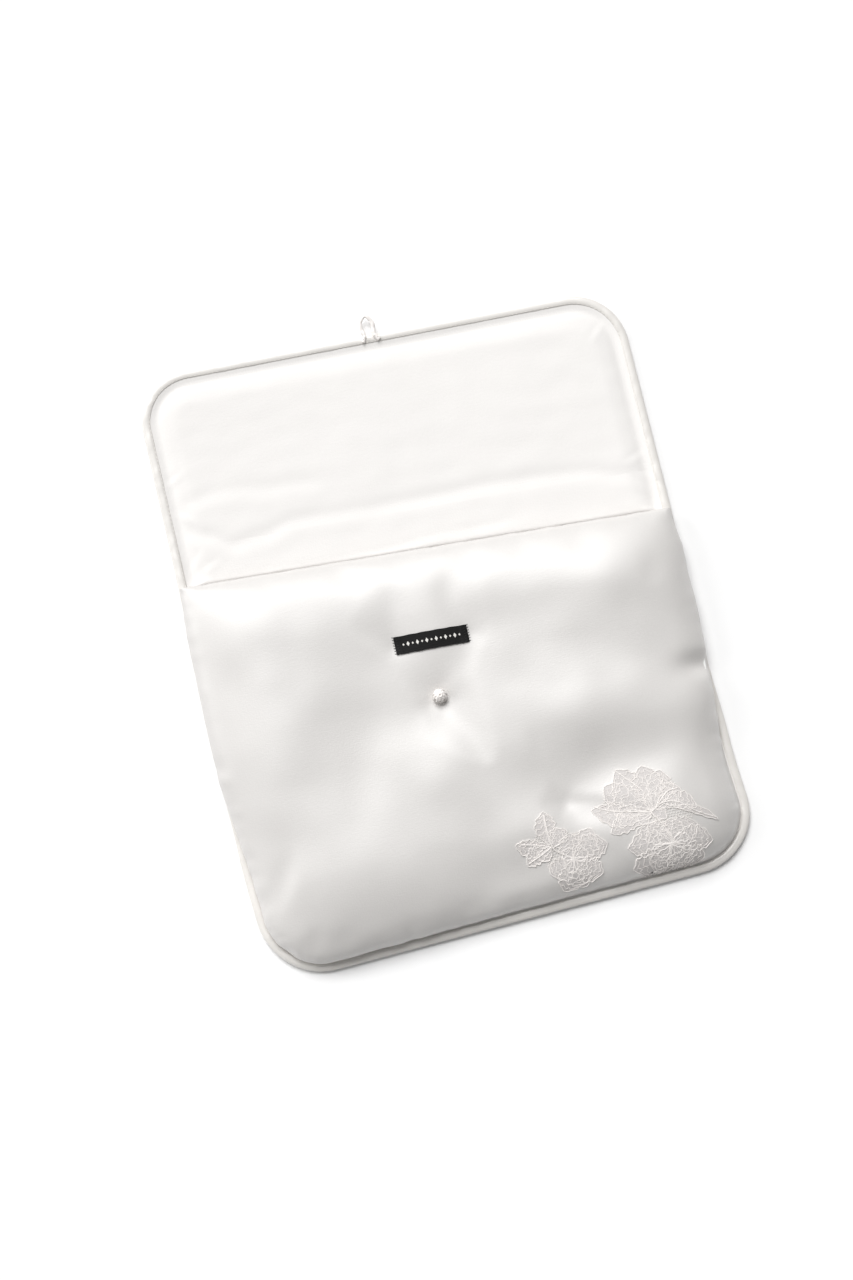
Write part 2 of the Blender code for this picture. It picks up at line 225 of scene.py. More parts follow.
def tube_mesh(path, radius, sides=8, closed=False, flat=1.0, up=Vector((0, 0, 1))):
    """Points and faces of a cord along a path. flat squeezes it towards the cloth."""
    count = len(path)
    points = []
    for i, place in enumerate(path):
        before = path[i - 1] if i or closed else path[0]
        after = path[(i + 1) % count] if i < count - 1 or closed else path[-1]
        ahead = (after - before).normalized()
        side = ahead.cross(up)
        side = side.normalized() if side.length > 1e-6 else ahead.orthogonal().normalized()
        lift = side.cross(ahead).normalized()
        here = radius(i / max(1, count - 1)) if callable(radius) else radius
        for angle in turns(sides):
            points.append(place + side * here * math.cos(angle) + lift * here * flat * math.sin(angle))
    return points, ring_faces(count, sides, closed)


def fair_line(points, samples):
    """A smooth line through given points."""
    line = []
    for i, (p1, p2) in enumerate(zip(points, points[1:])):
        p0 = points[i - 1] if i else p1 * 2 - p2
        p3 = points[i + 2] if i + 2 < len(points) else p2 * 2 - p1
        for s in range(samples):
            t = s / samples
            square = (p0 * 2 - p1 * 5 + p2 * 4 - p3) * t * t
            cube = (p1 * 3 - p0 - p2 * 3 + p3) * t ** 3
            line.append(0.5 * (p1 * 2 + (p2 - p0) * t + square + cube))
    line.append(points[-1].copy())
    return line


def join_parts(name, parts, soft_angle=50):
    """One mesh from several (points, faces, material) parts."""
    points, faces, looks, order = [], [], [], []
    for part_points, part_faces, look in parts:
        base = len(points)
        points += part_points
        faces += [tuple(base + v for v in face) for face in part_faces]
        if look not in order:
            order.append(look)
        looks += [order.index(look)] * len(part_faces)
    item = new_mesh(name, points, faces, soft_angle)
    for look in order:
        item.data.materials.append(made[look])
    item.data.polygons.foreach_set("material_index", looks)
    return item


def dress(item, look):
    """Give a piece one of the finishes."""
    item.data.materials.clear()
    item.data.materials.append(made[look])
    return item


# Cloths, threads and cords.


def shader_of(material):
    return material.node_tree.nodes["Principled BSDF"]


def add_node(tree, kind, inputs, **settings):
    """A new node's outputs; each of its inputs is a plain value, or another node's output."""
    item = tree.nodes.new(kind)
    for name, value in settings.items():
        setattr(item, name, value)
    for label, value in inputs.items():
        if isinstance(value, bpy.types.NodeSocket):
            tree.links.new(value, item.inputs[label])
        else:
            item.inputs[label].default_value = value
    return item.outputs


def share_of(tree, value, factor, added=0.0):
    """A node's value times a factor, on top of what is added."""
    inputs = {0: value, 1: factor, 2: added}
    return add_node(tree, "ShaderNodeMath", inputs, operation="MULTIPLY_ADD")["Value"]


def woven(
    name, colour, roughness, thread, relief, sheen=0.2, uneven=0.03, specular=0.5, slub=0.0, coat=0.0
):
    """A woven cloth: crossing threads in relief, uneven shade and uneven gloss."""
    material = bpy.data.materials.new(name)
    material.use_nodes = True
    tree = material.node_tree
    place = add_node(tree, "ShaderNodeTexCoord", {})["Object"]

    def noise_texture(where, scale, detail):
        inputs = {"Vector": where, "Scale": scale, "Detail": detail}
        return add_node(tree, "ShaderNodeTexNoise", inputs)["Fac"]

    crossing = []
    for stretch in ((1.0, 0.18, 0.5), (0.18, 1.0, 0.5)):
        stretched = add_node(tree, "ShaderNodeMapping", {"Vector": place, "Scale": stretch})
        crossing.append(noise_texture(stretched["Vector"], 0.8 / thread, 2.0))
    warp, weft = crossing
    grain = noise_texture(place, 0.6 / thread, 3.0)
    shade = noise_texture(place, 16.0, 4.0)
    weave = share_of(tree, grain, 1.0 + slub, share_of(tree, warp, 0.6, weft))
    bump = add_node(
        tree, "ShaderNodeBump", {"Strength": relief, "Distance": thread * 0.25, "Height": weave}
    )
    blend = add_node(
        tree,
        "ShaderNodeMix",
        {
            "Factor": share_of(tree, grain, 0.5, share_of(tree, shade, 0.5)),
            "A": (*(c * (1 - uneven) for c in colour), 1.0),
            "B": (*(min(1.0, c * (1 + uneven)) for c in colour), 1.0),
        },
        data_type="RGBA",
    )
    gloss = add_node(
        tree,
        "ShaderNodeMapRange",
        {"Value": grain, "To Min": roughness - 0.04, "To Max": roughness + 0.06},
    )
    shader = shader_of(material)
    for label, value in (
        ("Sheen Weight", sheen),
        ("Sheen Roughness", 0.45),
        ("Specular IOR Level", specular),
        ("Coat Weight", coat),
        ("Coat Roughness", 0.50),
        ("Coat IOR", 2.0),
    ):
        shader.inputs[label].default_value = value
    tree.links.new(bump["Normal"], shader.inputs["Normal"])
    tree.links.new(blend["Result"], shader.inputs["Base Color"])
    tree.links.new(gloss["Result"], shader.inputs["Roughness"])
    material.diffuse_color = (*colour, 1.0)
    made[name] = material


def length_property(name, description, default):
    return FloatProperty(
        name=name, description=description, default=default, subtype="DISTANCE", unit="LENGTH"
    )


def colour_property(name, description, default):
    return FloatVectorProperty(
        name=name, description=description, default=default, subtype="COLOR", size=3, min=0.0, max=1.0
    )


class PouchSizes(bpy.types.PropertyGroup):
    satin: length_property("Satin", "Thickness of the satin", 0.0005)
    pocket_corner: length_property("Pocket Corner", "Radius of the pocket's corners", 0.042)
    flap_corner: length_property("Flap Corner", "Radius of the flap's corners", 0.036)
    crest: length_property("Crest", "Height of the puffed front", 0.0262)
    shoulder: length_property("Shoulder", "Height at which the front stands out furthest", 0.0095)
    dome_reach: length_property("Dome Reach", "How far in from the edge the front still rises", 0.060)
    lip_reach: length_property("Lip Reach", "How far below the mouth the front still rises", 0.045)
    fullness: length_property("Fullness", "Extra satin taken up by the puffed edge", 0.0145)
    binding_width: length_property("Binding Width", "Width of the binding", 0.006)
    binding_pocket: length_property(
        "Pocket Binding Height", "Height of the binding round the pocket", 0.0045
    )
    binding_flap: length_property("Flap Binding Height", "Height of the binding round the flap", 0.0035)
    stitch_pitch: length_property("Stitch Pitch", "Distance from one stitch to the next", 0.0030)
    thread: length_property("Thread", "Thickness of the sewing thread", 0.0004)
    loop_cord: length_property("Loop Cord", "Width of the loop's cord", 0.0023)
    lace_cord: length_property("Lace Cord", "Thickness of the cord round the lace petals", 0.00056)
    net_thread: length_property("Net Thread", "Thickness of the net's thread", 0.00022)
    net_cell: length_property("Net Cell", "Width of one opening of the net", 0.0019)
    seed: IntProperty(name="Seed", description="Seed for the unevenness of the stitches", default=4)


class PouchColours(bpy.types.PropertyGroup):
    outer_satin: colour_property("Outer Satin", "Colour of the outer satin", (0.69, 0.67, 0.65))
    lining_satin: colour_property("Lining", "Colour of the lining", (0.88, 0.86, 0.84))
    binding_satin: colour_property("Binding", "Colour of the binding", (0.80, 0.775, 0.74))
    wadding: colour_property("Wadding", "Colour of the padding", (0.90, 0.90, 0.88))
    white_thread: colour_property("Thread", "Colour of the sewing thread", (0.84, 0.81, 0.77))
    white_cord: colour_property("Cord", "Colour of the loop and knot", (0.93, 0.89, 0.86))
    black_ribbon: colour_property("Label", "Colour of the woven label", (0.007, 0.007, 0.007))
    black_thread: colour_property("Label Thread", "Colour of the label's thread", (0.02, 0.02, 0.02))
    motif: colour_property("Label Motif", "Colour of the motif on the label", (0.80, 0.78, 0.74))
    lace: colour_property("Lace", "Colour of the lace cloth", (0.64, 0.61, 0.595))
    lace_cord: colour_property("Lace Cord", "Colour of the lace cord", (0.92, 0.88, 0.85))


def sizes():
    return bpy.context.scene.pouch_sizes


def outline():
    """The cut pouch's outline: half width, lowest and highest line, corner radii."""
    s = sizes()
    return HALF, BOTTOM, TOP, s.pocket_corner, s.flap_corner


def inside(x, y):
    """How far a point of the pattern lies inside the pouch's edge."""
    return from_edge(x, y, *outline())[0]


class POUCH_OT_finishes(bpy.types.Operator):
    """Mix the cloths, threads and cords that the pouch is made of"""

    bl_idname = "pouch.finishes"
    bl_label = "Mix Finishes"

    def execute(self, context):
        c = context.scene.pouch_colours
        outer = {"sheen": 0.0, "uneven": 0.08, "specular": 0.6, "coat": 0.6}
        lining = {"sheen": 0.1, "uneven": 0.025, "specular": 0.2, "slub": 0.6}
        woven("outer_satin", c.outer_satin, 0.42, 0.0006, 0.45, **outer)
        woven("lining_satin", c.lining_satin, 0.62, 0.0007, 0.30, **lining)
        woven("binding_satin", c.binding_satin, 0.32, 0.0007, 0.20, sheen=0.1, uneven=0.03, specular=0.9)
        woven("wadding", c.wadding, 0.95, 0.0030, 0.80, sheen=0.4, uneven=0.05, specular=0.2)
        woven("white_thread", c.white_thread, 0.60, 0.0003, 0.50, sheen=0.3, uneven=0.05)
        woven("white_cord", c.white_cord, 0.42, 0.0006, 0.60, sheen=0.3, uneven=0.05, specular=0.6)
        woven("black_ribbon", c.black_ribbon, 0.62, 0.0006, 0.80, sheen=0.0, uneven=0.30, specular=0.2)
        woven("black_thread", c.black_thread, 0.60, 0.0003, 0.60, sheen=0.1, uneven=0.30)
        woven("label_motif", c.motif, 0.60, 0.0003, 0.60, sheen=0.1, uneven=0.10)
        woven("lace_cloth", c.lace, 0.72, 0.0007, 0.90, sheen=0.2, uneven=0.16, slub=0.8)
        woven("lace_cord", c.lace_cord, 0.58, 0.0004, 0.70, sheen=0.3, uneven=0.06)
        return {"FINISHED"}


# The puffed front.


def ellipse_turns(rise, run, samples=60):
    """Share of a quarter ellipse's length that is reached at each of its even turns."""
    lengths, total = [0.0], 0.0
    for i in range(samples):
        angle = (i + 0.5) / samples * math.pi / 2
        total += math.hypot(run * math.sin(angle), rise * math.cos(angle))
        lengths.append(total)
    return [length / total for length in lengths]


def turn_at(table, share):
    """Turn angle at a share of the quarter ellipse's length."""
    if share >= 1:
        return math.pi / 2
    low, high = 0, len(table) - 1
    while high - low > 1:
        middle = (low + high) // 2
        if table[middle] <= share:
            low = middle
        else:
            high = middle
    part = (share - table[low]) / (table[high] - table[low])
    return (low + part) / (len(table) - 1) * math.pi / 2


# The neck, where the satin leaves the binding, and the lip that it makes along the mouth.
NECK_INSET = 0.0062
NECK_HEIGHT = 0.0038
NECK_CLOTH = 0.0090
LIP_UNDER = 0.0060
LIP_NOSE = 0.0012
LIP_BASE = 0.0109
LIP_EASE = 0.04
# Spacing of the satin's mesh, and of the finer band of it near the mouth.
SATIN_GRID = 0.0034
MOUTH_GRID = 0.0012
MOUTH_BAND = 0.016
# The simulation: its length, the most it may move a point, and how often its moves are evened out.
SETTLING_FRAMES = 20
SETTLING_LIMIT = 0.0011
SETTLING_PASSES = 10


def shoulder_inset(x, y):
    """How far inside the edge the puffed side stands out to; below nought it overhangs the edge."""
    down = smooth((-0.070 - y) / 0.085)
    right = smooth((x + HALF) / (2 * HALF))
    lower_right = smooth((-0.020 - y) / 0.090)
    tucked = hump(min(0.0, y - MOUTH + 0.004), 0.016)
    return -0.0020 + 0.0060 * down + right * (0.0010 + 0.0030 * lower_right) + 0.0028 * tucked


# Dents and swells of the front: x, y, height, width across, width along.
SWELLS = (
    (-0.085, -0.150, 0.0040, 0.045, 0.035),
    (0.075, -0.080, 0.0034, 0.050, 0.024),
    (0.085, -0.124, -0.0044, 0.055, 0.022),
    (0.158, -0.068, -0.0055, 0.014, 0.008),
    (0.150, -0.095, 0.0020, 0.030, 0.018),
    (0.000, -0.178, -0.0030, 0.035, 0.020),
    (-0.055, -0.045, -0.0034, 0.035, 0.040),
    (-0.130, -0.060, 0.0032, 0.035, 0.045),
    (0.110, 0.000, 0.0030, 0.040, 0.028),
    (0.055, -0.160, 0.0016, 0.018, 0.020),
    (-0.010, -0.105, 0.0030, 0.035, 0.030),
    (0.052, -0.176, -0.0022, 0.012, 0.030),
    (0.020, -0.150, 0.0022, 0.020, 0.022),
)


def knot_place():
    """Where the knot is sewn on the pattern."""
    x = (KNOT_LOW.x + KNOT_HIGH.x) / 2 + KNOT_SHIFT[0]
    y = (KNOT_LOW.y + KNOT_HIGH.y) / 2 + KNOT_SHIFT[1]
    return x, y


def tacks():
    """Points where the front is stitched down: x, y, depth, width, folds."""
    middle = (LABEL_LOW.y + LABEL_HIGH.y) / 2
    left = LABEL_LOW.x + CLOSURE_SHIFT
    right = LABEL_HIGH.x + CLOSURE_SHIFT
    return (
        (left, middle, 0.0018, 0.009, 3),
        (right, middle, 0.0013, 0.009, 3),
        (*knot_place(), 0.0040, 0.013, 5),
        (0.047, -0.141, 0.0026, 0.010, 6),
    )


def front_surface(x, y, rise_table, lip_table):
    """Place of one point of the front's satin, from its place on the cut cloth."""
    s = sizes()
    full = s.fullness
    radius = s.pocket_corner + full
    cloth, out_x, out_y = from_edge(x, y, HALF + full, BOTTOM - full, OPEN_TOP, radius, 0.0)
    span = full + s.dome_reach
    wide = from_edge(x, y, HALF + full, BOTTOM - full, OPEN_TOP, span, 0.0)[0]

    def dome(reached):
        """Height of the dome where the cloth has reached this far in from its edge."""
        turn = turn_at(rise_table, (reached - NECK_CLOTH) / (span - NECK_CLOTH))
        return s.shoulder + (s.crest - s.shoulder) * math.sin(turn)

    share = smooth(cloth / 0.045)
    risen = cloth * (1 - share) + wide * share
    edge = shoulder_inset(x, y)
    if cloth < NECK_CLOTH:
        t = cloth / NECK_CLOTH
        inset = NECK_INSET + (edge - NECK_INSET) * smooth(t)
        z_side = NECK_HEIGHT + (s.shoulder - NECK_HEIGHT) * t
    elif cloth < span:
        turn = turn_at(rise_table, (cloth - NECK_CLOTH) / (span - NECK_CLOTH))
        inset = edge + (s.dome_reach - edge) * (1 - math.cos(turn))
        z_side = dome(max(risen, NECK_CLOTH))
    else:
        inset = cloth - full
        z_side = dome(risen)
    shift = (cloth - full) - inset
    x += out_x * shift
    y += out_y * shift
    # The mouth: the satin turns under, round the lip, and rises away from it.
    nose = math.pi * LIP_NOSE
    lip_length = (1 + LIP_EASE) * s.lip_reach
    slack = LIP_UNDER + nose + lip_length - s.lip_reach
    m = MOUTH + slack - y
    if m < LIP_UNDER:
        y = MOUTH - LIP_UNDER + m
        z_lip, lifted = LIP_BASE, 0.0
    elif m < LIP_UNDER + nose:
        round_lip = (m - LIP_UNDER) / LIP_NOSE
        y = MOUTH + LIP_NOSE * (math.sin(round_lip) - 0.4)
        z_lip, lifted = LIP_BASE + LIP_NOSE * (1 - math.cos(round_lip)), 0.0
    elif m < LIP_UNDER + nose + lip_length:
        turn = turn_at(lip_table, (m - LIP_UNDER - nose) / lip_length)
        y = MOUTH - LIP_NOSE * 0.4 - (s.lip_reach - LIP_NOSE * 0.4) * (1 - math.cos(turn))
        z_lip, lifted = LIP_BASE + 2 * LIP_NOSE, math.sin(turn)
    else:
        z_lip, lifted = LIP_BASE + 2 * LIP_NOSE, 1.0
    z_low = min(z_side, z_lip)
    z = z_low + (z_side - z_low) * lifted
    body = smooth((cloth - 0.012) / 0.030)
    calm = 0.35 + 0.65 * smooth((MOUTH - 0.015 - y) / 0.045)
    # Broad swells of the padding, and the gathers where the cloth is caught.
    from_rim = smooth(cloth / 0.020)
    for cx, cy, height, wide_x, wide_y in SWELLS:
        z += height * hump(x - cx, wide_x) * hump(y - cy, wide_y) * from_rim * (0.3 + 0.7 * lifted)
    uneven = 0.0022 * ripple(x, y, 0.075, 1.0) + 0.0009 * ripple(x, y, 0.030, 2.0)
    z += uneven * body * lifted * calm
    near_edge = smooth(cloth / 0.006) * (1 - smooth((cloth - 0.010) / 0.016))
    pleat = ripple(x * abs(out_y) + y * abs(out_x), 0.3 * (x + y), 0.0075, 5.0)
    z += 0.0009 * pleat * near_edge
    x += out_x * 0.0007 * pleat * near_edge
    y += out_y * 0.0007 * pleat * near_edge
    mouth_gather = hump(m - LIP_UNDER - nose, 0.006)
    gather = ripple(x, 0.0, 0.0085, 7.0) + 0.5 * ripple(x, 0.0, 0.021, 8.0)
    y += 0.0007 * gather * mouth_gather
    z += 0.0005 * ripple(x, y, 0.0100, 9.0) * mouth_gather * from_rim
    for cx, cy, depth, width, folds in tacks():
        away = math.hypot(x - cx, y - cy)
        if away < 4 * width and lifted > 0:
            angle = math.atan2(y - cy, x - cx)
            star = 1 + 0.13 * math.cos(folds * angle + 0.8) * smooth(away / width)
            z -= depth * math.exp(-away / width * 1.25) * star * lifted
    x, y = as_laid(x, y)
    return Vector((x, y, z))


def simulate_front(item, held):
    """Let the front's satin fill out under a little pressure, held at its seams and tacks."""
    start = [v.co.copy() for v in item.data.vertices]
    group = item.vertex_groups.new(name="held")
    for index, weight in held.items():
        group.add([index], weight, "REPLACE")
    cloth = item.modifiers.new("Cloth", "CLOTH")
    wear = cloth.settings
    wear.quality = 6
    wear.mass = 0.15
    wear.tension_stiffness = 12
    wear.compression_stiffness = 12
    wear.shear_stiffness = 4
    wear.bending_stiffness = 3.0
    wear.vertex_group_mass = "held"
    wear.pin_stiffness = 1.0
    wear.shrink_min = -0.003
    wear.use_pressure = True
    wear.uniform_pressure_force = 4.0
    wear.effector_weights.gravity = 0.0
    cloth.collision_settings.use_collision = False
    scene = bpy.context.scene
    for step in range(1, SETTLING_FRAMES + 1):
        scene.frame_set(step)
    worn = bpy.data.meshes.new_from_object(item.evaluated_get(bpy.context.evaluated_depsgraph_get()))
    item.modifiers.clear()
    moves = [settled.co - before for settled, before in zip(worn.vertices, start)]
    beside = [[] for _ in moves]
    for edge in item.data.edges:
        a, b = edge.vertices
        beside[a].append(b)
        beside[b].append(a)
    for _ in range(SETTLING_PASSES):
        moves = [
            (move + sum((moves[n] for n in near), Vector()) / len(near)) * 0.5
            for move, near in zip(moves, beside)
        ]
    for vertex, move, before in zip(item.data.vertices, moves, start):
        if move.length > SETTLING_LIMIT:
            move *= SETTLING_LIMIT / move.length
        vertex.co = before + move
    bpy.data.meshes.remove(worn)
    scene.frame_set(1)


def bake_modifiers(item):
    """Turn an object's modifiers into plain mesh."""
    graph = bpy.context.evaluated_depsgraph_get()
    mesh = bpy.data.meshes.new_from_object(item.evaluated_get(graph))
    item.modifiers.clear()
    old = item.data
    item.data = mesh
    mesh.name = old.name
    bpy.data.meshes.remove(old)
    return item


def lay_on_front(x, y, lift=0.0):
    """The point of the front's satin above (x, y) as laid, raised by lift."""
    tree = made["front_tree"]
    hit, normal, _, _ = tree.ray_cast(Vector((x, y, 0.2)), Vector((0, 0, -1)))
    if hit is None:
        hit, normal, _, _ = tree.find_nearest(Vector((x, y, sizes().shoulder + 0.004)))
    return hit + normal * lift


class POUCH_OT_front(bpy.types.Operator):
    """Puff the front: its outer satin, the padding in it and the pocket's lining under it"""

    bl_idname = "pouch.front"
    bl_label = "Puff Front"

    def execute(self, context):
        s = sizes()
        rise = ellipse_turns(s.crest - s.shoulder, s.dome_reach)
        lip = ellipse_turns(s.crest - LIP_BASE, s.lip_reach)
        full = s.fullness
        slack = LIP_UNDER + math.pi * LIP_NOSE + LIP_EASE * s.lip_reach
        half, low, high = HALF + full, BOTTOM - full, MOUTH + slack
        radius = s.pocket_corner + full
        xs = spaced(-half, half, SATIN_GRID)
        band = high - MOUTH_BAND
        ys = spaced(low, band, SATIN_GRID) + spaced(band, high, MOUTH_GRID)[1:]
        cut = [round_corner(x, y, half, low, OPEN_TOP, radius, 0.0) for y in ys for x in xs]
        points = [front_surface(x, y, rise, lip) for x, y in cut]
        satin = new_mesh("front_satin", points, grid_faces(len(ys), len(xs)))
        held = {}
        for index, (x, y) in enumerate(cut):
            cloth = from_edge(x, y, half, low, OPEN_TOP, radius, 0.0)[0]
            weight = max(1 - smooth((cloth - 0.003) / 0.004), 1 - smooth((high - y - 0.010) / 0.004))
            for cx, cy, *_ in tacks():
                weight = max(weight, 1 - smooth((math.hypot(x - cx, y - cy) - 0.003) / 0.004))
            if weight > 0:
                held[index] = weight
        simulate_front(satin, held)
        finer = satin.modifiers.new("Finer", "SUBSURF")
        finer.levels = 1
        finer.render_levels = 1
        bake_modifiers(satin)
        satin.data.shade_smooth()
        tree = BVHTree.FromObject(satin, context.evaluated_depsgraph_get())
        made["front_tree"] = tree
        wall = satin.modifiers.new("Cloth", "SOLIDIFY")
        wall.thickness = s.satin
        wall.offset = -1
        bake_modifiers(satin)
        dress(satin, "outer_satin")
        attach(satin, "pocket")
        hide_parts("front_outer")
        # The padding follows the satin from inside, and is flat where it lies on the lining.
        inset = NECK_CLOTH + 0.006
        base = CEILING + 0.0002

        def pad(x, y):
            px, py = round_corner(x, y, half - inset, low + inset, OPEN_TOP, radius - inset, 0.0)
            place = front_surface(px, py, rise, lip)
            hit = tree.ray_cast(Vector((place.x, place.y, base)), Vector((0, 0, 1)))[0]
            ceiling = hit.z if hit else place.z
            top = max(base + 0.0004, min(place.z, ceiling) - s.satin - 0.0012)
            return Vector((place.x, place.y, top)), Vector((place.x, place.y, base))

        across, down = spaced(-half + inset, half - inset, 0.005), spaced(low + inset, high - 0.015, 0.005)
        padding = dress(slab("front_padding", across, down, pad), "wadding")
        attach(padding, "pocket")
        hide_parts("front_wadding")
        # The pocket's upper lining.
        edge = 0.0035

        def line_pocket(x, y):
            px, py = round_corner(x, y, HALF - edge, BOTTOM + edge, OPEN_TOP, s.pocket_corner - edge, 0.0)
            gap = from_edge(px, py, HALF, BOTTOM, OPEN_TOP, s.pocket_corner, 0.0)[0]
            body = smooth((gap - edge) / 0.014)
            z = 0.0031 + (CEILING - 0.0033) * body
            z += 0.0002 * ripple(px, py, 0.03, 3.0) * body - 0.0002
            place = as_laid(px, py)
            return Vector((*place, z)), Vector((*place, z - s.satin))

        across, down = spaced(-HALF + edge, HALF - edge, 0.004), spaced(BOTTOM + edge, MOUTH - 0.0008, 0.004)
        ceiling = dress(slab("pocket_ceiling", across, down, line_pocket), "lining_satin")
        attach(ceiling, "pocket")
        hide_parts("front_lining")
        return {"FINISHED"}


# Back, spine and flap.

# The creases in the lining: (x, y) knots of the line, depth, width, and the ridge beside it.
LONG_CREASE = (
    (-0.160, 0.086),
    (-0.138, 0.078),
    (-0.124, 0.069),
    (-0.106, 0.072),
    (-0.080, 0.078),
    (-0.010, 0.078),
    (0.060, 0.080),
    (0.110, 0.078),
    (0.140, 0.072),
    (0.160, 0.062),
)
LOW_CREASE = ((-0.090, 0.041), (-0.050, 0.046), (0.018, 0.053), (0.070, 0.054))
SIDE_CREASE = ((-0.156, 0.094), (-0.146, 0.103), (-0.127, 0.107), (-0.080, 0.103), (-0.050, 0.100))
CREASES = (
    (LONG_CREASE, 0.0007, 0.0052, 0.0002),
    (LOW_CREASE, 0.0003, 0.0035, 0.0003),
    (SIDE_CREASE, 0.0004, 0.0055, 0.0002),
)
# Short gathers at the sides of the lining: x, y, turn of the fold.
GATHERS = (
    (-0.152, 0.119, 0.5),
    (-0.150, 0.092, -0.6),
    (-0.148, 0.062, 0.9),
    (-0.140, 0.056, 0.5),
    (0.150, 0.080, 0.4),
    (0.152, 0.068, -0.5),
    (0.150, 0.050, -0.7),
    (0.146, 0.165, 0.8),
)


def lining_height(x, y, gap):
    """Height of the lining that faces up, at a point of the pattern, gap inside the edge."""
    rim = 0.0028
    open_part = smooth((y - MOUTH) / 0.008)
    z = rim + (LINING_TOP - rim) * smooth((gap - 0.0100) / (0.004 + 0.010 * open_part))
    z -= 0.0011 * hump(gap - 0.0098, 0.0030) * open_part
    body = smooth((gap - 0.006) / 0.012) * open_part
    for knots, depth, width, ridge in CREASES:
        if knots[0][0] - 0.01 < x < knots[-1][0] + 0.01:
            fade = smooth((x - knots[0][0]) / 0.012) * smooth((knots[-1][0] - x) / 0.020)
            off = y - along(knots, x)
            z -= depth * hump(off, width) * fade * body
            z += ridge * hump(off + 1.7 * width, 1.2 * width) * fade * body
    ditch = 0.0023 + 0.0004 * ripple(x, 0.0, 0.015, 13.0)
    z -= ditch * hump(y - MOUTH - 0.0004, 0.0015) * smooth((gap - 0.006) / 0.012)
    near = smooth((gap - 0.005) / 0.004) * open_part
    for cx, cy, turn in GATHERS:
        dx, dy = x - cx, y - cy
        run = dx * math.cos(turn) + dy * math.sin(turn)
        off = dy * math.cos(turn) - dx * math.sin(turn)
        fold = hump(off, 0.0016) - 0.8 * hump(off - 0.0030, 0.0018)
        z += 0.00035 * hump(run, 0.007) * fold * near
    z += 0.00045 * ripple(x, y, 0.055, 11.0) * body
    z += 0.00022 * ripple(x, 1.6 * y, 0.019, 12.0) * body
    return z


def lay_cloth(name, low, high, upper_height, lower_height, edge, step):
    """A closed sheet over part of the pouch's outline, between two height rules."""
    half, bottom, top, low_radius, high_radius = outline()
    lines = spaced(max(low, bottom + edge), min(high, top - edge), step)
    if low < MOUTH < high:
        near_mouth = spaced(MOUTH - 0.004, MOUTH + 0.005, 0.0006)
        apart = step * 0.4
        lines = [y for y in lines if not near_mouth[0] - apart < y < near_mouth[-1] + apart]
        lines = sorted(lines + near_mouth)

    def place(x, y):
        px, py = round_corner(
            x, y, half - edge, bottom + edge, top - edge, low_radius - edge, high_radius - edge
        )
        gap = inside(px, py)
        laid = as_laid(px, py)
        return Vector((*laid, upper_height(px, py, gap))), Vector((*laid, lower_height(px, py, gap)))

    return slab(name, spaced(-half + edge, half - edge, step), lines, place)


def bend_lower(item):
    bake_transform(item)


def bend_upper(item):
    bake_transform(item)


BENDS = {"lower": bend_lower, "upper": bend_upper}


class POUCH_OT_back_and_flap(bpy.types.Operator):
    """Lay the back, the spine and the flap: outer satin, padding and lining, split in mid-spine"""

    bl_idname = "pouch.back_and_flap"
    bl_label = "Lay Back And Flap"

    def execute(self, context):
        s = sizes()
        thin = s.satin

        def under(x, y, gap):
            return 0.00035 * max(0.0, ripple(x, y, 0.045, 21.0)) * smooth((gap - 0.006) / 0.01)

        def under_top(x, y, gap):
            return under(x, y, gap) + thin

        def lining_under(x, y, gap):
            return lining_height(x, y, gap) - thin

        def padding_top(x, y, gap):
            return max(under_top(x, y, gap) + 0.0006, lining_under(x, y, gap) - 0.0004)

        def padding_base(x, y, gap):
            return under_top(x, y, gap) + 0.0002

        lengths = {"lower": (BOTTOM, SPLIT), "upper": (SPLIT, TOP)}
        stands_for = {
            "lower_outer": ("back_outer", "spine_outer"),
            "lower_padding": ("back_wadding", "spine_wadding"),
            "lower_lining": ("back_lining", "spine_lining"),
            "upper_outer": ("flap_outer", "spine_outer"),
            "upper_padding": ("flap_wadding", "spine_wadding"),
            "upper_lining": ("flap_lining", "spine_lining"),
        }
        layers = (
            ("outer", under_top, under, 0.0010, 0.0040, "outer_satin"),
            ("padding", padding_top, padding_base, 0.0075, 0.0040, "wadding"),
            ("lining", lining_height, lining_under, 0.0030, 0.0022, "lining_satin"),
        )
        for part, (low, high) in lengths.items():
            for layer, upper, lower, edge, step, look in layers:
                name = f"{part}_{layer}"
                item = dress(lay_cloth(name, low, high, upper, lower, edge, step), look)
                BENDS[part](item)
                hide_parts(*stands_for[name])
        return {"FINISHED"}


# Binding and stitches.


EDGE_STEP = 0.0022
# The topstitch: its place across the binding, its height on it, and its ends short of the split.
TOPSTITCH_INSET = 0.86
TOPSTITCH_HEIGHT = 0.91
THREAD_END = 0.001


def edge_path(low, high, inset):
    """Points of the pattern along the outline of the part between two lines, from left to right."""
    half, bottom, top, low_radius, high_radius = outline()
    if low <= bottom:
        start, corner, way, centre, level = high, low_radius, -1, bottom + low_radius, bottom + inset
    else:
        start, corner, way, centre, level = low, high_radius, 1, top - high_radius, top - inset
    left = [(inset - half, y) for y in spaced(start, centre, EDGE_STEP)]
    radius = corner - inset
    steps = max(8, round(radius * math.pi / 2 / EDGE_STEP))
    for i in range(1, steps):
        angle = math.pi / 2 * i / steps
        left.append((corner - half - radius * math.cos(angle), centre + way * radius * math.sin(angle)))
    left += [(x, level) for x in spaced(corner - half, 0.0, EDGE_STEP)]
    return left + [(-x, y) for x, y in left[-2::-1]]


def binding_height(y):
    s = sizes()
    towards_flap = smooth((y - MOUTH) / (UPPER_CREASE - MOUTH))
    return s.binding_pocket + (s.binding_flap - s.binding_pocket) * towards_flap


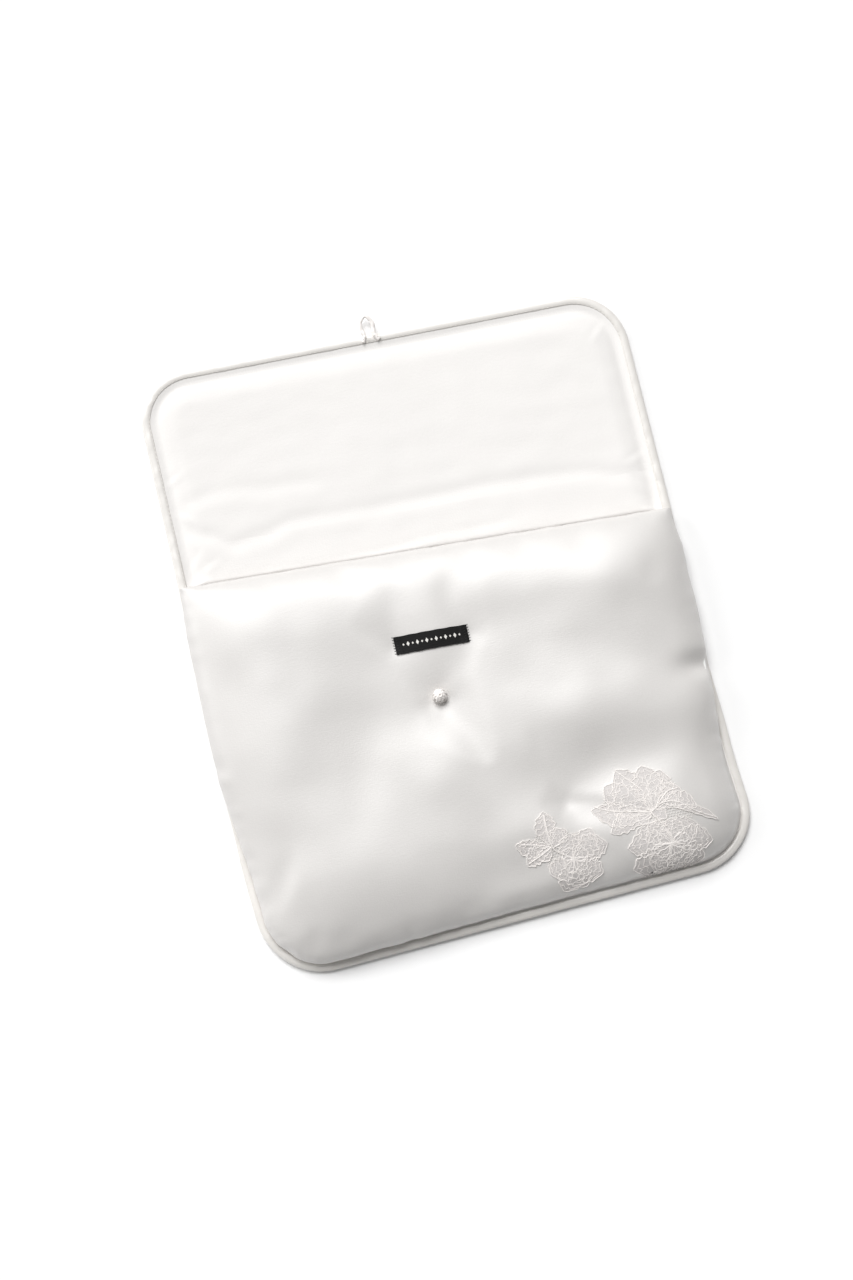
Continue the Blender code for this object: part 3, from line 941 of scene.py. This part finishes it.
def bind_edge(name, low, high):
    """A rounded tape round the edge, creased where it is pulled tight."""
    s = sizes()
    places = edge_path(low, high, s.binding_width / 2)
    section = 18
    power = 2 / 2.6
    points = []
    for i, (x, y) in enumerate(places):
        _, out_x, out_y = from_edge(x, y, *outline())
        height = binding_height(y)
        run = i * EDGE_STEP
        pull = 1 + 0.05 * ripple(run, 0.0, 0.020, 31.0)
        strain = hump(abs(x) - HALF, 0.02) * hump(y - MOUTH, 0.03)
        for angle in turns(section):
            u, v = math.cos(angle), math.sin(angle)
            across = math.copysign(abs(u) ** power, u) * s.binding_width / 2
            lift = (1 + math.copysign(abs(v) ** power, v)) * height / 2
            slant = run + 0.8 * across + 0.6 * lift
            crease = ripple(slant, 0.0, 0.0050, 33.0) * 0.00022 + ripple(slant, 0.0, 0.012, 34.0) * 0.00025
            crease *= (0.5 + 0.5 * v) * (1 + 1.6 * strain)
            lift = lift * pull + crease
            across = across * (1 + crease * 60)
            px, py = as_laid(x + out_x * across, y + out_y * across)
            points.append(Vector((px, py, max(0.0, lift))))
    item = new_mesh(name, points, ring_faces(len(places), section), 70)
    return dress(mend_normals(item), "binding_satin")


def mend_normals(item):
    """Turn every face of a piece outwards."""
    shell = bmesh.new()
    shell.from_mesh(item.data)
    bmesh.ops.recalc_face_normals(shell, faces=shell.faces)
    shell.to_mesh(item.data)
    shell.free()
    return item


def start_tree(name, sockets):
    """A tree that takes lines, a finish and its other sockets; with its inputs, and the curves."""
    tree = bpy.data.node_groups.new(name, "GeometryNodeTree")
    for label, kind in (("Geometry", "Geometry"), *sockets, ("Finish", "Material")):
        tree.interface.new_socket(label, in_out="INPUT", socket_type=f"NodeSocket{kind}")
    tree.interface.new_socket("Geometry", in_out="OUTPUT", socket_type="NodeSocketGeometry")
    given = add_node(tree, "NodeGroupInput", {})
    line = add_node(tree, "GeometryNodeMeshToCurve", {"Mesh": given["Geometry"]})
    return tree, given, line["Curve"]


def finish_tree(tree, given, threads):
    """Make the threads real, and give them their finish."""
    real = add_node(tree, "GeometryNodeRealizeInstances", {"Geometry": threads})
    inputs = {"Geometry": real["Geometry"], "Material": given["Finish"]}
    finish = add_node(tree, "GeometryNodeSetMaterial", inputs)
    add_node(tree, "NodeGroupOutput", {"Geometry": finish["Geometry"]})
    return tree


def stitch_tree():
    """Stitches laid end to end along a line, each a small spindle of thread."""
    tree, given, line = start_tree(
        "stitches", (("Pitch", "Float"), ("Length", "Float"), ("Thread", "Float"), ("Seed", "Int"))
    )
    inputs = {"Curve": line, "Length": given["Pitch"]}
    marks = add_node(tree, "GeometryNodeResampleCurve", inputs, mode="LENGTH")
    tangent = add_node(tree, "GeometryNodeInputTangent", {})
    aim = add_node(tree, "FunctionNodeAlignRotationToVector", {"Vector": tangent["Tangent"]}, axis="X")
    inputs = {2: 0.82, 3: 1.0, "Seed": given["Seed"]}
    chance = add_node(tree, "FunctionNodeRandomValue", inputs, data_type="FLOAT")
    spindle = add_node(tree, "GeometryNodeMeshUVSphere", {"Segments": 6, "Rings": 5, "Radius": 0.5})
    inputs = {"X": given["Length"], "Y": given["Thread"], "Z": given["Thread"]}
    size = add_node(tree, "ShaderNodeCombineXYZ", inputs)
    shaped = add_node(
        tree, "GeometryNodeTransform", {"Geometry": spindle["Mesh"], "Scale": size["Vector"]}
    )
    inputs = {
        "Points": marks["Curve"],
        "Instance": shaped["Geometry"],
        "Rotation": aim["Rotation"],
        "Scale": chance[1],
    }
    sewn = add_node(tree, "GeometryNodeInstanceOnPoints", inputs)
    return finish_tree(tree, given, sewn["Instances"])


def cord_tree():
    """Threads of a net: each of its lines becomes a fine thread."""
    tree, given, line = start_tree("net_threads", (("Thread", "Float"),))
    half = add_node(tree, "ShaderNodeMath", {0: given["Thread"], 1: 0.5}, operation="MULTIPLY")
    ring = add_node(tree, "GeometryNodeCurvePrimitiveCircle", {"Resolution": 4, "Radius": half["Value"]})
    inputs = {"Curve": line, "Profile Curve": ring["Curve"], "Fill Caps": True}
    swept = add_node(tree, "GeometryNodeCurveToMesh", inputs)
    return finish_tree(tree, given, swept["Mesh"])


def grow(name, tree, lines, inputs):
    """Run a node tree over polylines and keep the result as a plain mesh."""
    mesh = bpy.data.meshes.new(name)
    points, edges = [], []
    for line in lines:
        base = len(points)
        points += [tuple(p) for p in line]
        edges += [(base + i, base + i + 1) for i in range(len(line) - 1)]
    mesh.from_pydata(points, edges, [])
    item = bpy.data.objects.new(name, mesh)
    bpy.context.scene.collection.objects.link(item)
    grower = item.modifiers.new("Threads", "NODES")
    grower.node_group = tree
    for socket in tree.interface.items_tree:
        if socket.in_out == "INPUT" and socket.name in inputs:
            grower[socket.identifier] = inputs[socket.name]
    bake_modifiers(item)
    if not item.data.polygons:
        raise RuntimeError(f"{name} came out empty")
    mend_normals(item)
    item.data.shade_smooth()
    return item


def sew(name, lines, look="white_thread", pitch=None, length=0.8):
    """Sew along lines; length is a stitch's length as a share of the pitch."""
    s = sizes()
    pitch = pitch or s.stitch_pitch
    if "stitches" not in made:
        made["stitches"] = stitch_tree()
    inputs = {
        "Pitch": pitch,
        "Length": length * pitch,
        "Thread": s.thread,
        "Seed": s.seed,
        "Finish": made[look],
    }
    return grow(name, made["stitches"], lines, inputs)


class POUCH_OT_binding(bpy.types.Operator):
    """Bind the edge all round, and topstitch the binding"""

    bl_idname = "pouch.binding"
    bl_label = "Bind Edge"

    def execute(self, context):
        s = sizes()
        pieces = (
            ("lower", BOTTOM, SPLIT, ("pocket_binding", "spine_binding_left", "spine_binding_right")),
            ("upper", SPLIT, TOP, ("flap_binding", "spine_binding_left", "spine_binding_right")),
        )
        below, above = SPLIT - THREAD_END, SPLIT + THREAD_END
        threads = (
            ("lower", BOTTOM, below, ("pocket_topstitch", "spine_topstitch_left", "spine_topstitch_right")),
            ("upper", above, TOP, ("flap_topstitch", "spine_topstitch_left", "spine_topstitch_right")),
        )
        for part, low, high, nodes in pieces:
            item = bind_edge(f"{part}_binding", low, high)
            BENDS[part](item)
            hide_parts(*nodes)
        for part, low, high, nodes in threads:
            line = []
            for x, y in edge_path(low, high, s.binding_width * TOPSTITCH_INSET):
                line.append(Vector((*as_laid(x, y), binding_height(y) * TOPSTITCH_HEIGHT)))
            item = sew(f"{part}_topstitch", [line])
            BENDS[part](item)
            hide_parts(*nodes)
        # The seam that joins the lip to the pocket's lining.
        line = []
        for x in spaced(-0.148, 0.148, 0.004):
            line.append(Vector((*as_laid(x, MOUTH - 0.0030), CEILING)))
        seam = sew("mouth_seam", [line], pitch=0.0040)
        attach(seam, "pocket")
        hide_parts("mouth_seam_thread")
        return {"FINISHED"}


# Label.

LABEL_GRID = 0.0008
# The ribbon's thickness, its doubled ends, and the bare ends beyond its row of lozenges.
RIBBON = 0.0008
LABEL_HEM = 0.0045
LABEL_END = 0.0058
LOZENGES = 13


class POUCH_OT_label(bpy.types.Operator):
    """Weave the label, with its ends folded under, and tack it down"""

    bl_idname = "pouch.label"
    bl_label = "Sew Label"

    def execute(self, context):
        left, right = LABEL_LOW.x + CLOSURE_SHIFT, LABEL_HIGH.x + CLOSURE_SHIFT
        low, high = LABEL_LOW.y, LABEL_HIGH.y
        middle, width = (low + high) / 2, high - low

        def ribbon(x, y):
            end = min(x - left, right - x)
            rounded = 1 - math.sqrt(max(0.0, 1 - min(1.0, end / 0.0007)))
            near_side = abs(2 * (y - low) / width - 1) ** 6
            px, py = as_laid(x, y + 0.00008 * math.sin(x * 700) * near_side)
            doubled = 0.0003 * (1 - smooth((end - LABEL_HEM) / 0.0006))
            wave = 0.00015 * ripple(x, y, 0.012, 41.0)
            lift = 0.0003 + RIBBON * (0.55 + 0.45 * rounded) + doubled + wave
            return lay_on_front(px, py, lift), lay_on_front(px, py, 0.0001)

        across, down = spaced(left, right, LABEL_GRID), spaced(low, high, LABEL_GRID)
        label = dress(slab("label_ribbon", across, down, ribbon), "black_ribbon")
        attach(label, "pocket")
        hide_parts("woven_label")
        # A plain woven motif: large and small lozenges.
        parts = []
        faces = [(4, 5, 6, 7), (3, 2, 1, 0)]
        faces += [(k, (k + 1) % 4, 4 + (k + 1) % 4, 4 + k) for k in range(4)]
        for i in range(LOZENGES):
            x = left + LABEL_END + (right - left - 2 * LABEL_END) * i / (LOZENGES - 1)
            wide, tall = (0.0010, 0.0016) if i % 2 else (0.0007, 0.0008)
            points = []
            for lift in (0.0011, 0.00145):
                for dx, dy in ((-wide, 0.0), (0.0, -tall), (wide, 0.0), (0.0, tall)):
                    points.append(lay_on_front(*as_laid(x + dx, middle + dy), lift))
            parts.append((points, faces, "label_motif"))
        motif = mend_normals(join_parts("label_motif", parts))
        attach(motif, "pocket")
        # The tacks run from on the ribbon, over its end, into the satin beside it.
        for side, way, x in (("left", -1, left + 0.0012), ("right", 1, right - 0.0012)):
            lines = []
            for y in spaced(low + 0.0004, high - 0.0004, 0.0018):
                on_ribbon = lay_on_front(*as_laid(x - way * 0.0009, y), 0.0015)
                in_satin = lay_on_front(*as_laid(x + way * 0.0018, y + 0.0004), 0.0003)
                lines.append([on_ribbon, in_satin])
            stitches = sew(f"label_tack_{side}", lines, "black_thread", pitch=0.0013, length=1.3)
            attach(stitches, "pocket")
            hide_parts(f"label_stitch_{side}")
        return {"FINISHED"}


# Loop and knot.

# The knot's cord goes round the ball so many times, and up and down it so many times.
KNOT_ROUNDS = 5
KNOT_SWAYS = 8
KNOT_CORD = 0.00092
KNOT_PLUMPNESS = 1.18
LOOP_SHIFT = 0.0060
# The loop's cord from foot to foot: place across, line of the pattern, lift.
LOOP_LINE = (
    (-0.0050, 0.1882, 0.0000),
    (-0.0042, 0.1900, 0.0002),
    (-0.0034, 0.1918, 0.0002),
    (-0.0034, 0.1936, 0.0002),
    (-0.0040, 0.1965, 0.0000),
    (-0.0043, 0.1998, 0.0003),
    (-0.0036, 0.2026, 0.0006),
    (-0.0006, 0.2054, 0.0008),
    (0.0022, 0.2032, 0.0006),
    (0.0037, 0.1998, 0.0003),
    (0.0034, 0.1965, 0.0000),
    (0.0032, 0.1936, 0.0002),
    (0.0036, 0.1918, 0.0002),
    (0.0046, 0.1900, 0.0002),
    (0.0058, 0.1884, 0.0000),
)


class POUCH_OT_closure(bpy.types.Operator):
    """Braid the knot on its shank, and form the corded loop that goes over it"""

    bl_idname = "pouch.closure"
    bl_label = "Form Loop And Knot"

    def execute(self, context):
        s = sizes()
        x, y = as_laid(*knot_place())
        seat = lay_on_front(x, y)
        radius = (KNOT_HIGH.z - KNOT_LOW.z) / 2 * KNOT_PLUMPNESS
        centre = Vector((x, y, seat.z + 0.0002 + radius * 0.88))
        path = []
        for t in turns(520):
            turn = KNOT_ROUNDS * t
            lift = math.sin(KNOT_SWAYS * t) * 1.16
            out = radius - KNOT_CORD + 0.00030 * math.cos(13 * t)
            level = Vector((math.cos(turn), math.sin(turn), 0.0)) * (out * math.cos(lift))
            path.append(centre + level + Vector((0.0, 0.0, out * math.sin(lift) * 0.92)))
        parts = [(*braid_tube(path, KNOT_CORD, centre), "white_cord")]
        top = radius * 0.86
        crown = [centre + Vector((0.0011 * math.cos(a), 0.0011 * math.sin(a), top)) for a in turns(24)]
        parts.append((*tube_mesh(crown, 0.0008, 10, closed=True), "white_cord"))
        core = bmesh.new()
        bmesh.ops.create_icosphere(core, subdivisions=3, radius=radius - 1.2 * KNOT_CORD)
        core_points = [v.co + centre for v in core.verts]
        core_faces = [tuple(v.index for v in f.verts) for f in core.faces]
        core.free()
        parts.append((core_points, core_faces, "white_cord"))
        knot = mend_normals(join_parts("braided_knot", parts))
        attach(knot, "pocket")
        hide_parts("knot_button")
        # The shank: thread wound from the satin up to the knot.
        bottom, top = seat.z - 0.0006, centre.z - radius * 0.72
        wound = []
        steps = 5 * 16
        for i in range(steps + 1):
            a = 2 * math.pi * i / 16
            height = bottom + (top - bottom) * i / steps
            wound.append(Vector((x + 0.0009 * math.cos(a), y + 0.0009 * math.sin(a), height)))
        shank = join_parts("wound_shank", [(*tube_mesh(wound, 0.0003, 6), "white_thread")])
        mend_normals(shank)
        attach(shank, "pocket")
        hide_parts("button_shank")
        # The loop: both feet spread over the binding, an open arch beyond it.
        cx, z = LOOP_HINGE.x + LOOP_SHIFT, LOOP_HINGE.z
        path = []
        for dx, py, dz in LOOP_LINE:
            px, ly = as_laid(cx + dx, py)
            path.append(Vector((px, ly, z + dz)))
        line = fair_line(path, 8)
        wide = s.loop_cord / 2

        def cord_width(t):
            return wide * (1.0 + 0.25 * smooth((t - 0.5) / 0.2) + 0.06 * math.sin(60 * t))

        loop = join_parts("corded_loop", [(*tube_mesh(line, cord_width, 12, flat=0.72), "white_cord")])
        mend_normals(loop)
        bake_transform(loop)
        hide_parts("button_loop", "loop_leg_left", "loop_leg_right")
        lines = []
        for k in range(4):
            start = Vector((*as_laid(cx - 0.0050 + 0.0033 * k, 0.1902), z + 0.0015))
            lines.append([start, start + Vector((0.0016, 0.0010, 0.0))])
        tack = sew("loop_tack_stitches", lines, pitch=0.0010, length=1.4)
        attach(tack, "flap")
        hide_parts("loop_tack")
        return {"FINISHED"}


def braid_tube(path, radius, centre):
    """A closed cord over a ball, with the ridges of its twist."""
    count, sides = len(path), 10
    points = []
    for i, place in enumerate(path):
        ahead = (path[(i + 1) % count] - path[i - 1]).normalized()
        out = (place - centre).normalized()
        side = ahead.cross(out).normalized()
        lift = side.cross(ahead).normalized()
        for angle in turns(sides):
            here = radius * (1 + 0.10 * math.cos(3 * angle + i * 0.9))
            points.append(place + side * here * math.cos(angle) + lift * here * math.sin(angle))
    return points, ring_faces(count, sides, closed=True)


# Lace.

# Petals of the large spray, in millimetres as laid: foot, tip, width, scallops, bend.
LARGE_PETALS = (
    ((99, -160), (71, -166), 13, 5, -3),
    ((100, -158), (62, -149), 15, 5, 3),
    ((100, -158), (73, -136), 20, 6, 2),
    ((100, -157), (84, -127), 22, 6, 3),
    ((101, -157), (100, -128), 19, 6, -1),
    ((102, -157), (111, -133), 17, 5, -2),
    ((103, -157), (121, -147), 16, 5, 2),
    ((108, -154), (129, -161), 11, 4, 3),
    ((114, -158), (141, -172), 5, 3, 2),
    ((108, -180), (96, -165), 15, 4, 1),
    ((108, -180), (111, -165), 15, 4, -1),
    ((108, -180), (127, -172), 16, 4, 3),
    ((108, -180), (135, -184), 16, 5, 2),
    ((108, -181), (128, -193), 16, 4, -2),
    ((108, -181), (113, -198), 17, 4, 2),
    ((108, -181), (96, -198), 17, 4, -2),
    ((108, -181), (81, -192), 17, 5, 3),
    ((108, -180), (80, -178), 17, 5, -2),
    ((108, -180), (87, -168), 13, 4, -2),
    ((108, -181), (121, -181), 9, 3, 1),
    ((108, -181), (103, -171), 9, 3, 1),
    ((108, -181), (96, -184), 9, 3, 1),
    ((108, -181), (111, -192), 9, 3, 1),
    ((99, -157), (108, -164), 8, 2, 1),
    ((99, -157), (91, -165), 8, 2, -1),
    ((99, -157), (91, -150), 9, 3, 1),
    ((99, -157), (104, -147), 9, 3, 1),
)
LARGE_STEMS = (
    ((100, -158), (108, -154), (118, -156), (128, -164), (141, -171)),
    ((99, -158), (104, -166), (108, -176)),
    ((97, -158), (86, -155), (74, -152), (64, -147)),
    ((101, -155), (97, -144), (88, -133), (83, -127)),
    ((104, -155), (112, -148), (119, -147)),
)
# Windows of net: centre and half sizes.
LARGE_NETS = (
    ((97, -148), (22, 15)),
    ((85, -150), (15, 11)),
    ((112, -163), (14, 9)),
    ((108, -181), (22, 13)),
)
SMALL_PETALS = (
    ((31, -164), (31, -143), 13, 4, 1),
    ((30, -165), (9, -160), 11, 4, 2),
    ((30, -167), (14, -174), 11, 4, -2),
    ((32, -166), (43, -157), 10, 3, 2),
    ((31, -166), (23, -173), 8, 2, 0),
    ((44, -176), (67, -171), 17, 5, 2),
    ((44, -176), (59, -160), 16, 4, -2),
    ((44, -176), (44, -160), 15, 4, 1),
    ((44, -176), (27, -182), 15, 4, 2),
    ((44, -177), (34, -195), 16, 4, 2),
    ((44, -177), (49, -195), 16, 4, -2),
    ((44, -177), (61, -189), 16, 4, -2),
    ((44, -176), (54, -174), 9, 3, 0),
    ((44, -176), (39, -184), 9, 3, 0),
    ((44, -176), (38, -170), 9, 3, 0),
    ((44, -176), (51, -184), 9, 3, 0),
)
SMALL_STEMS = (
    ((31, -145), (31, -158), (33, -168), (44, -176)),
    ((12, -160), (24, -163), (31, -166)),
    ((15, -173), (25, -169), (31, -166)),
)
SMALL_NETS = (((44, -175), (18, 15)), ((29, -164), (12, 8)))


def petal(foot, tip, width, scallops, bend):
    """Grid of flat points over one petal: rows from foot to tip, each across it."""
    foot, tip = Vector(foot) * 0.001, Vector(tip) * 0.001
    run = tip - foot
    side = Vector((-run.y, run.x)).normalized()
    rows = []
    count, across = 22, 8
    for i in range(count + 1):
        t = i / count
        middle = foot + run * t + side * bend * 0.001 * math.sin(math.pi * t)
        body = math.sin(math.pi * min(1.0, 0.03 + 0.97 * t ** 1.25)) ** 0.75
        scallop = 1 + 0.13 * math.cos(2 * math.pi * (scallops + 1) * t) * smooth(t / 0.3)
        half = width * 0.0005 * body * scallop
        rows.append([middle + side * half * (2 * k / across - 1) for k in range(across + 1)])
    return rows


def ruffle_line(rows, start, order):
    """A wavering line across a petal's grid of points, arched towards its tip."""
    columns = len(rows[0])
    line = []
    for k in range(13):
        across = 2 * k / 12 - 1
        place = start + 2.4 * (1 - across * across) + 0.9 * math.sin(9.0 * across + order)
        row = min(len(rows) - 2, int(place))
        column = 0.5 * (across + 1) * (columns - 1)
        left = min(columns - 2, int(column))
        near = rows[row][left].lerp(rows[row][left + 1], column - left)
        far = rows[row + 1][left].lerp(rows[row + 1][left + 1], column - left)
        line.append(near.lerp(far, place - row))
    return line


def raise_line(flat_line, lift):
    return [lay_on_front(p.x, p.y, lift) for p in flat_line]


def lay_spray(name, petals, stems, node):
    """Lace petals on the satin: close cloth inside, cords round them and along their veins."""
    cord = sizes().lace_cord / 2
    parts = []
    for order, (foot, tip, width, scallops, bend) in enumerate(petals):
        rows = petal(foot, tip, width, scallops, bend)
        base = 0.0002 + 0.00003 * (order % 5)
        points, columns = [], len(rows[0])
        for i, row in enumerate(rows):
            for k, p in enumerate(row):
                curl = 0.00012 * math.cos((2 * k / (columns - 1) - 1) * math.pi / 2)
                rib = 0.00005 * math.cos(9.0 * math.pi * i / len(rows) + 2.2 * abs(k - columns // 2))
                points.append(lay_on_front(p.x, p.y, base + curl + rib))
        under = [lay_on_front(p.x, p.y, 0.00005) for row in rows for p in row]
        parts.append((points + under, closed_faces(len(rows), columns), "lace_cloth"))
        edge = [row[0] for row in rows] + [row[-1] for row in rows[-2::-1]]
        wavering = []
        for i, p in enumerate(edge):
            shake = 0.0006 * noise.noise(Vector((i * 0.7, order * 3.1, 0.0)))
            wavering.append(p + Vector((shake, -shake)))
        line = raise_line(wavering, base + 0.00012)
        parts.append((*tube_mesh(line, cord, 6, closed=True), "lace_cord"))
        ruffles = (6, 10, 14, 17) if width > 9 else (11,)
        for row_index in ruffles:
            ruffle = ruffle_line(rows, row_index, order)
            parts.append((*tube_mesh(raise_line(ruffle, base + 0.00018), cord * 0.7, 5), "lace_cord"))
        if width > 9:
            vein = [row[len(row) // 2] for row in rows[1:-4]]
            parts.append((*tube_mesh(raise_line(vein, base + 0.00015), cord * 0.45, 5), "lace_cord"))
    for stem in stems:
        flat_line = fair_line([Vector(p) * 0.001 for p in stem], 6)
        parts.append((*tube_mesh(raise_line(flat_line, 0.0005), cord * 1.2, 6), "lace_cord"))
    spray = mend_normals(join_parts(name, parts, 60))
    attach(spray, "pocket")
    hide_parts(node)


def net_lines(windows, cell):
    """Threads of a six-sided net over oval windows, on the satin."""
    lines = []
    taken = set()
    height = cell * 0.75 * 2 / math.sqrt(3)
    for (cx, cy), (rx, ry) in windows:
        cx, cy, rx, ry = cx * 0.001, cy * 0.001, rx * 0.001, ry * 0.001
        columns, rows = int(rx / cell) + 2, int(ry / height) + 2
        start_c, start_r = round(cx / cell), round(cy / height)
        for r in range(start_r - rows, start_r + rows + 1):
            for c in range(start_c - columns, start_c + columns + 1):
                if (r, c) in taken:
                    continue
                x = (c + 0.5 * (r % 2)) * cell
                y = r * height
                if ((x - cx) / rx) ** 2 + ((y - cy) / ry) ** 2 > 1:
                    continue
                taken.add((r, c))
                top = Vector((x, y + height / 3))
                foot = Vector((x, y - height / 3))
                left = Vector((x - cell / 2, y + height * 2 / 3))
                right = Vector((x + cell / 2, y + height * 2 / 3))
                for a, b in ((foot, top), (top, left), (top, right)):
                    lines.append([lay_on_front(a.x, a.y, 0.0003), lay_on_front(b.x, b.y, 0.0003)])
    return lines


class POUCH_OT_lace(bpy.types.Operator):
    """Lay both lace sprays on the front, with the net between their petals"""

    bl_idname = "pouch.lace"
    bl_label = "Lay Lace"

    def execute(self, context):
        s = sizes()
        lay_spray("lace_large", LARGE_PETALS, LARGE_STEMS, "lace_spray_large")
        lay_spray("lace_small", SMALL_PETALS, SMALL_STEMS, "lace_spray_small")
        tree = cord_tree()
        for name, windows in (("net_large", LARGE_NETS), ("net_small", SMALL_NETS)):
            inputs = {"Thread": s.net_thread, "Finish": made["lace_cord"]}
            net = grow(name, tree, net_lines(windows, s.net_cell), inputs)
            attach(net, "pocket")
        return {"FINISHED"}


# Stage.

FLOOR_REACH = 40
SQUARE = ((-1, -1), (1, -1), (1, 1), (-1, 1))
CAMERA_PLACE = (-0.1201, -0.2070, 1.5642)
CAMERA_AHEAD = (0.0666, 0.1219, -0.9903)
CAMERA_UP = (0.2181, 0.9667, 0.1337)


def soft_sun(name, towards, spread, strength):
    """Even light from one side, as from a large window or a lit panel far off."""
    lamp = bpy.data.lights.new(name, "SUN")
    lamp.angle = math.radians(spread)
    lamp.energy = strength
    item = bpy.data.objects.new(name, lamp)
    item.rotation_euler = Vector(towards).to_track_quat("Z", "Y").to_euler()
    bpy.context.scene.collection.objects.link(item)


class POUCH_OT_stage(bpy.types.Operator):
    """Set the floor, the soft lights and the camera"""

    bl_idname = "pouch.stage"
    bl_label = "Set Stage"

    def execute(self, context):
        scene = context.scene
        scene.view_settings.view_transform = "Standard"
        corners = [(x * FLOOR_REACH, y * FLOOR_REACH, -0.0002) for x, y in SQUARE]
        floor = new_mesh("floor", corners, [(0, 1, 2, 3)])
        white = bpy.data.materials.new("floor_white")
        white.use_nodes = True
        shader = shader_of(white)
        shader.inputs["Base Color"].default_value = (0.99, 0.99, 0.99, 1.0)
        shader.inputs["Roughness"].default_value = 1.0
        shader.inputs["Specular IOR Level"].default_value = 0.0
        floor.data.materials.append(white)
        world = bpy.data.worlds.new("soft_room")
        world.use_nodes = True
        back = world.node_tree.nodes["Background"]
        back.inputs["Color"].default_value = (1.0, 1.0, 1.0, 1.0)
        # The room lights the pouch dimly, and looks bright to the camera.
        seen = add_node(world.node_tree, "ShaderNodeLightPath", {})["Is Camera Ray"]
        inputs = {"Value": seen, "To Min": 0.22, "To Max": 0.95}
        glow = add_node(world.node_tree, "ShaderNodeMapRange", inputs)
        world.node_tree.links.new(glow["Result"], back.inputs["Strength"])
        scene.world = world
        soft_sun("window", (-0.12, 0.66, 0.86), 40.0, 2.85)
        soft_sun("left_panel", (-1.0, 0.50, 0.55), 34.0, 0.95)
        lens = bpy.data.cameras.new("camera")
        lens.lens = 67.5
        lens.clip_start = 0.05
        camera = bpy.data.objects.new("camera", lens)
        scene.collection.objects.link(camera)
        ahead = Vector(CAMERA_AHEAD).normalized()
        side = ahead.cross(Vector(CAMERA_UP)).normalized()
        up = side.cross(ahead)
        turned = Matrix((side, up, -ahead)).transposed().to_4x4()
        camera.matrix_world = Matrix.Translation(CAMERA_PLACE) @ turned
        scene.camera = camera
        return {"FINISHED"}


class POUCH_PT_panel(bpy.types.Panel):
    """The pouch's pieces and sizes"""

    bl_label = "Satin Pouch"
    bl_space_type = "VIEW_3D"
    bl_region_type = "UI"
    bl_category = "Pouch"

    def draw(self, context):
        layout = self.layout
        for operator in OPERATORS:
            layout.operator(operator.bl_idname)
        for group in (context.scene.pouch_sizes, context.scene.pouch_colours):
            for name in group.__annotations__:
                layout.prop(group, name)


OPERATORS = (
    POUCH_OT_stage,
    POUCH_OT_finishes,
    POUCH_OT_front,
    POUCH_OT_back_and_flap,
    POUCH_OT_binding,
    POUCH_OT_label,
    POUCH_OT_closure,
    POUCH_OT_lace,
)
CLASSES = (PouchSizes, PouchColours, *OPERATORS, POUCH_PT_panel)


def register():
    for item in CLASSES:
        bpy.utils.register_class(item)
    bpy.types.Scene.pouch_sizes = PointerProperty(type=PouchSizes)
    bpy.types.Scene.pouch_colours = PointerProperty(type=PouchColours)


def unregister():
    del bpy.types.Scene.pouch_colours
    del bpy.types.Scene.pouch_sizes
    for item in reversed(CLASSES):
        bpy.utils.unregister_class(item)


def main():
    register()
    bpy.ops.pouch.stage()
    bpy.ops.pouch.finishes()
    bpy.ops.pouch.front()
    bpy.ops.pouch.back_and_flap()
    bpy.ops.pouch.binding()
    bpy.ops.pouch.label()
    bpy.ops.pouch.closure()
    bpy.ops.pouch.lace()


if __name__ == "__main__":
    main()
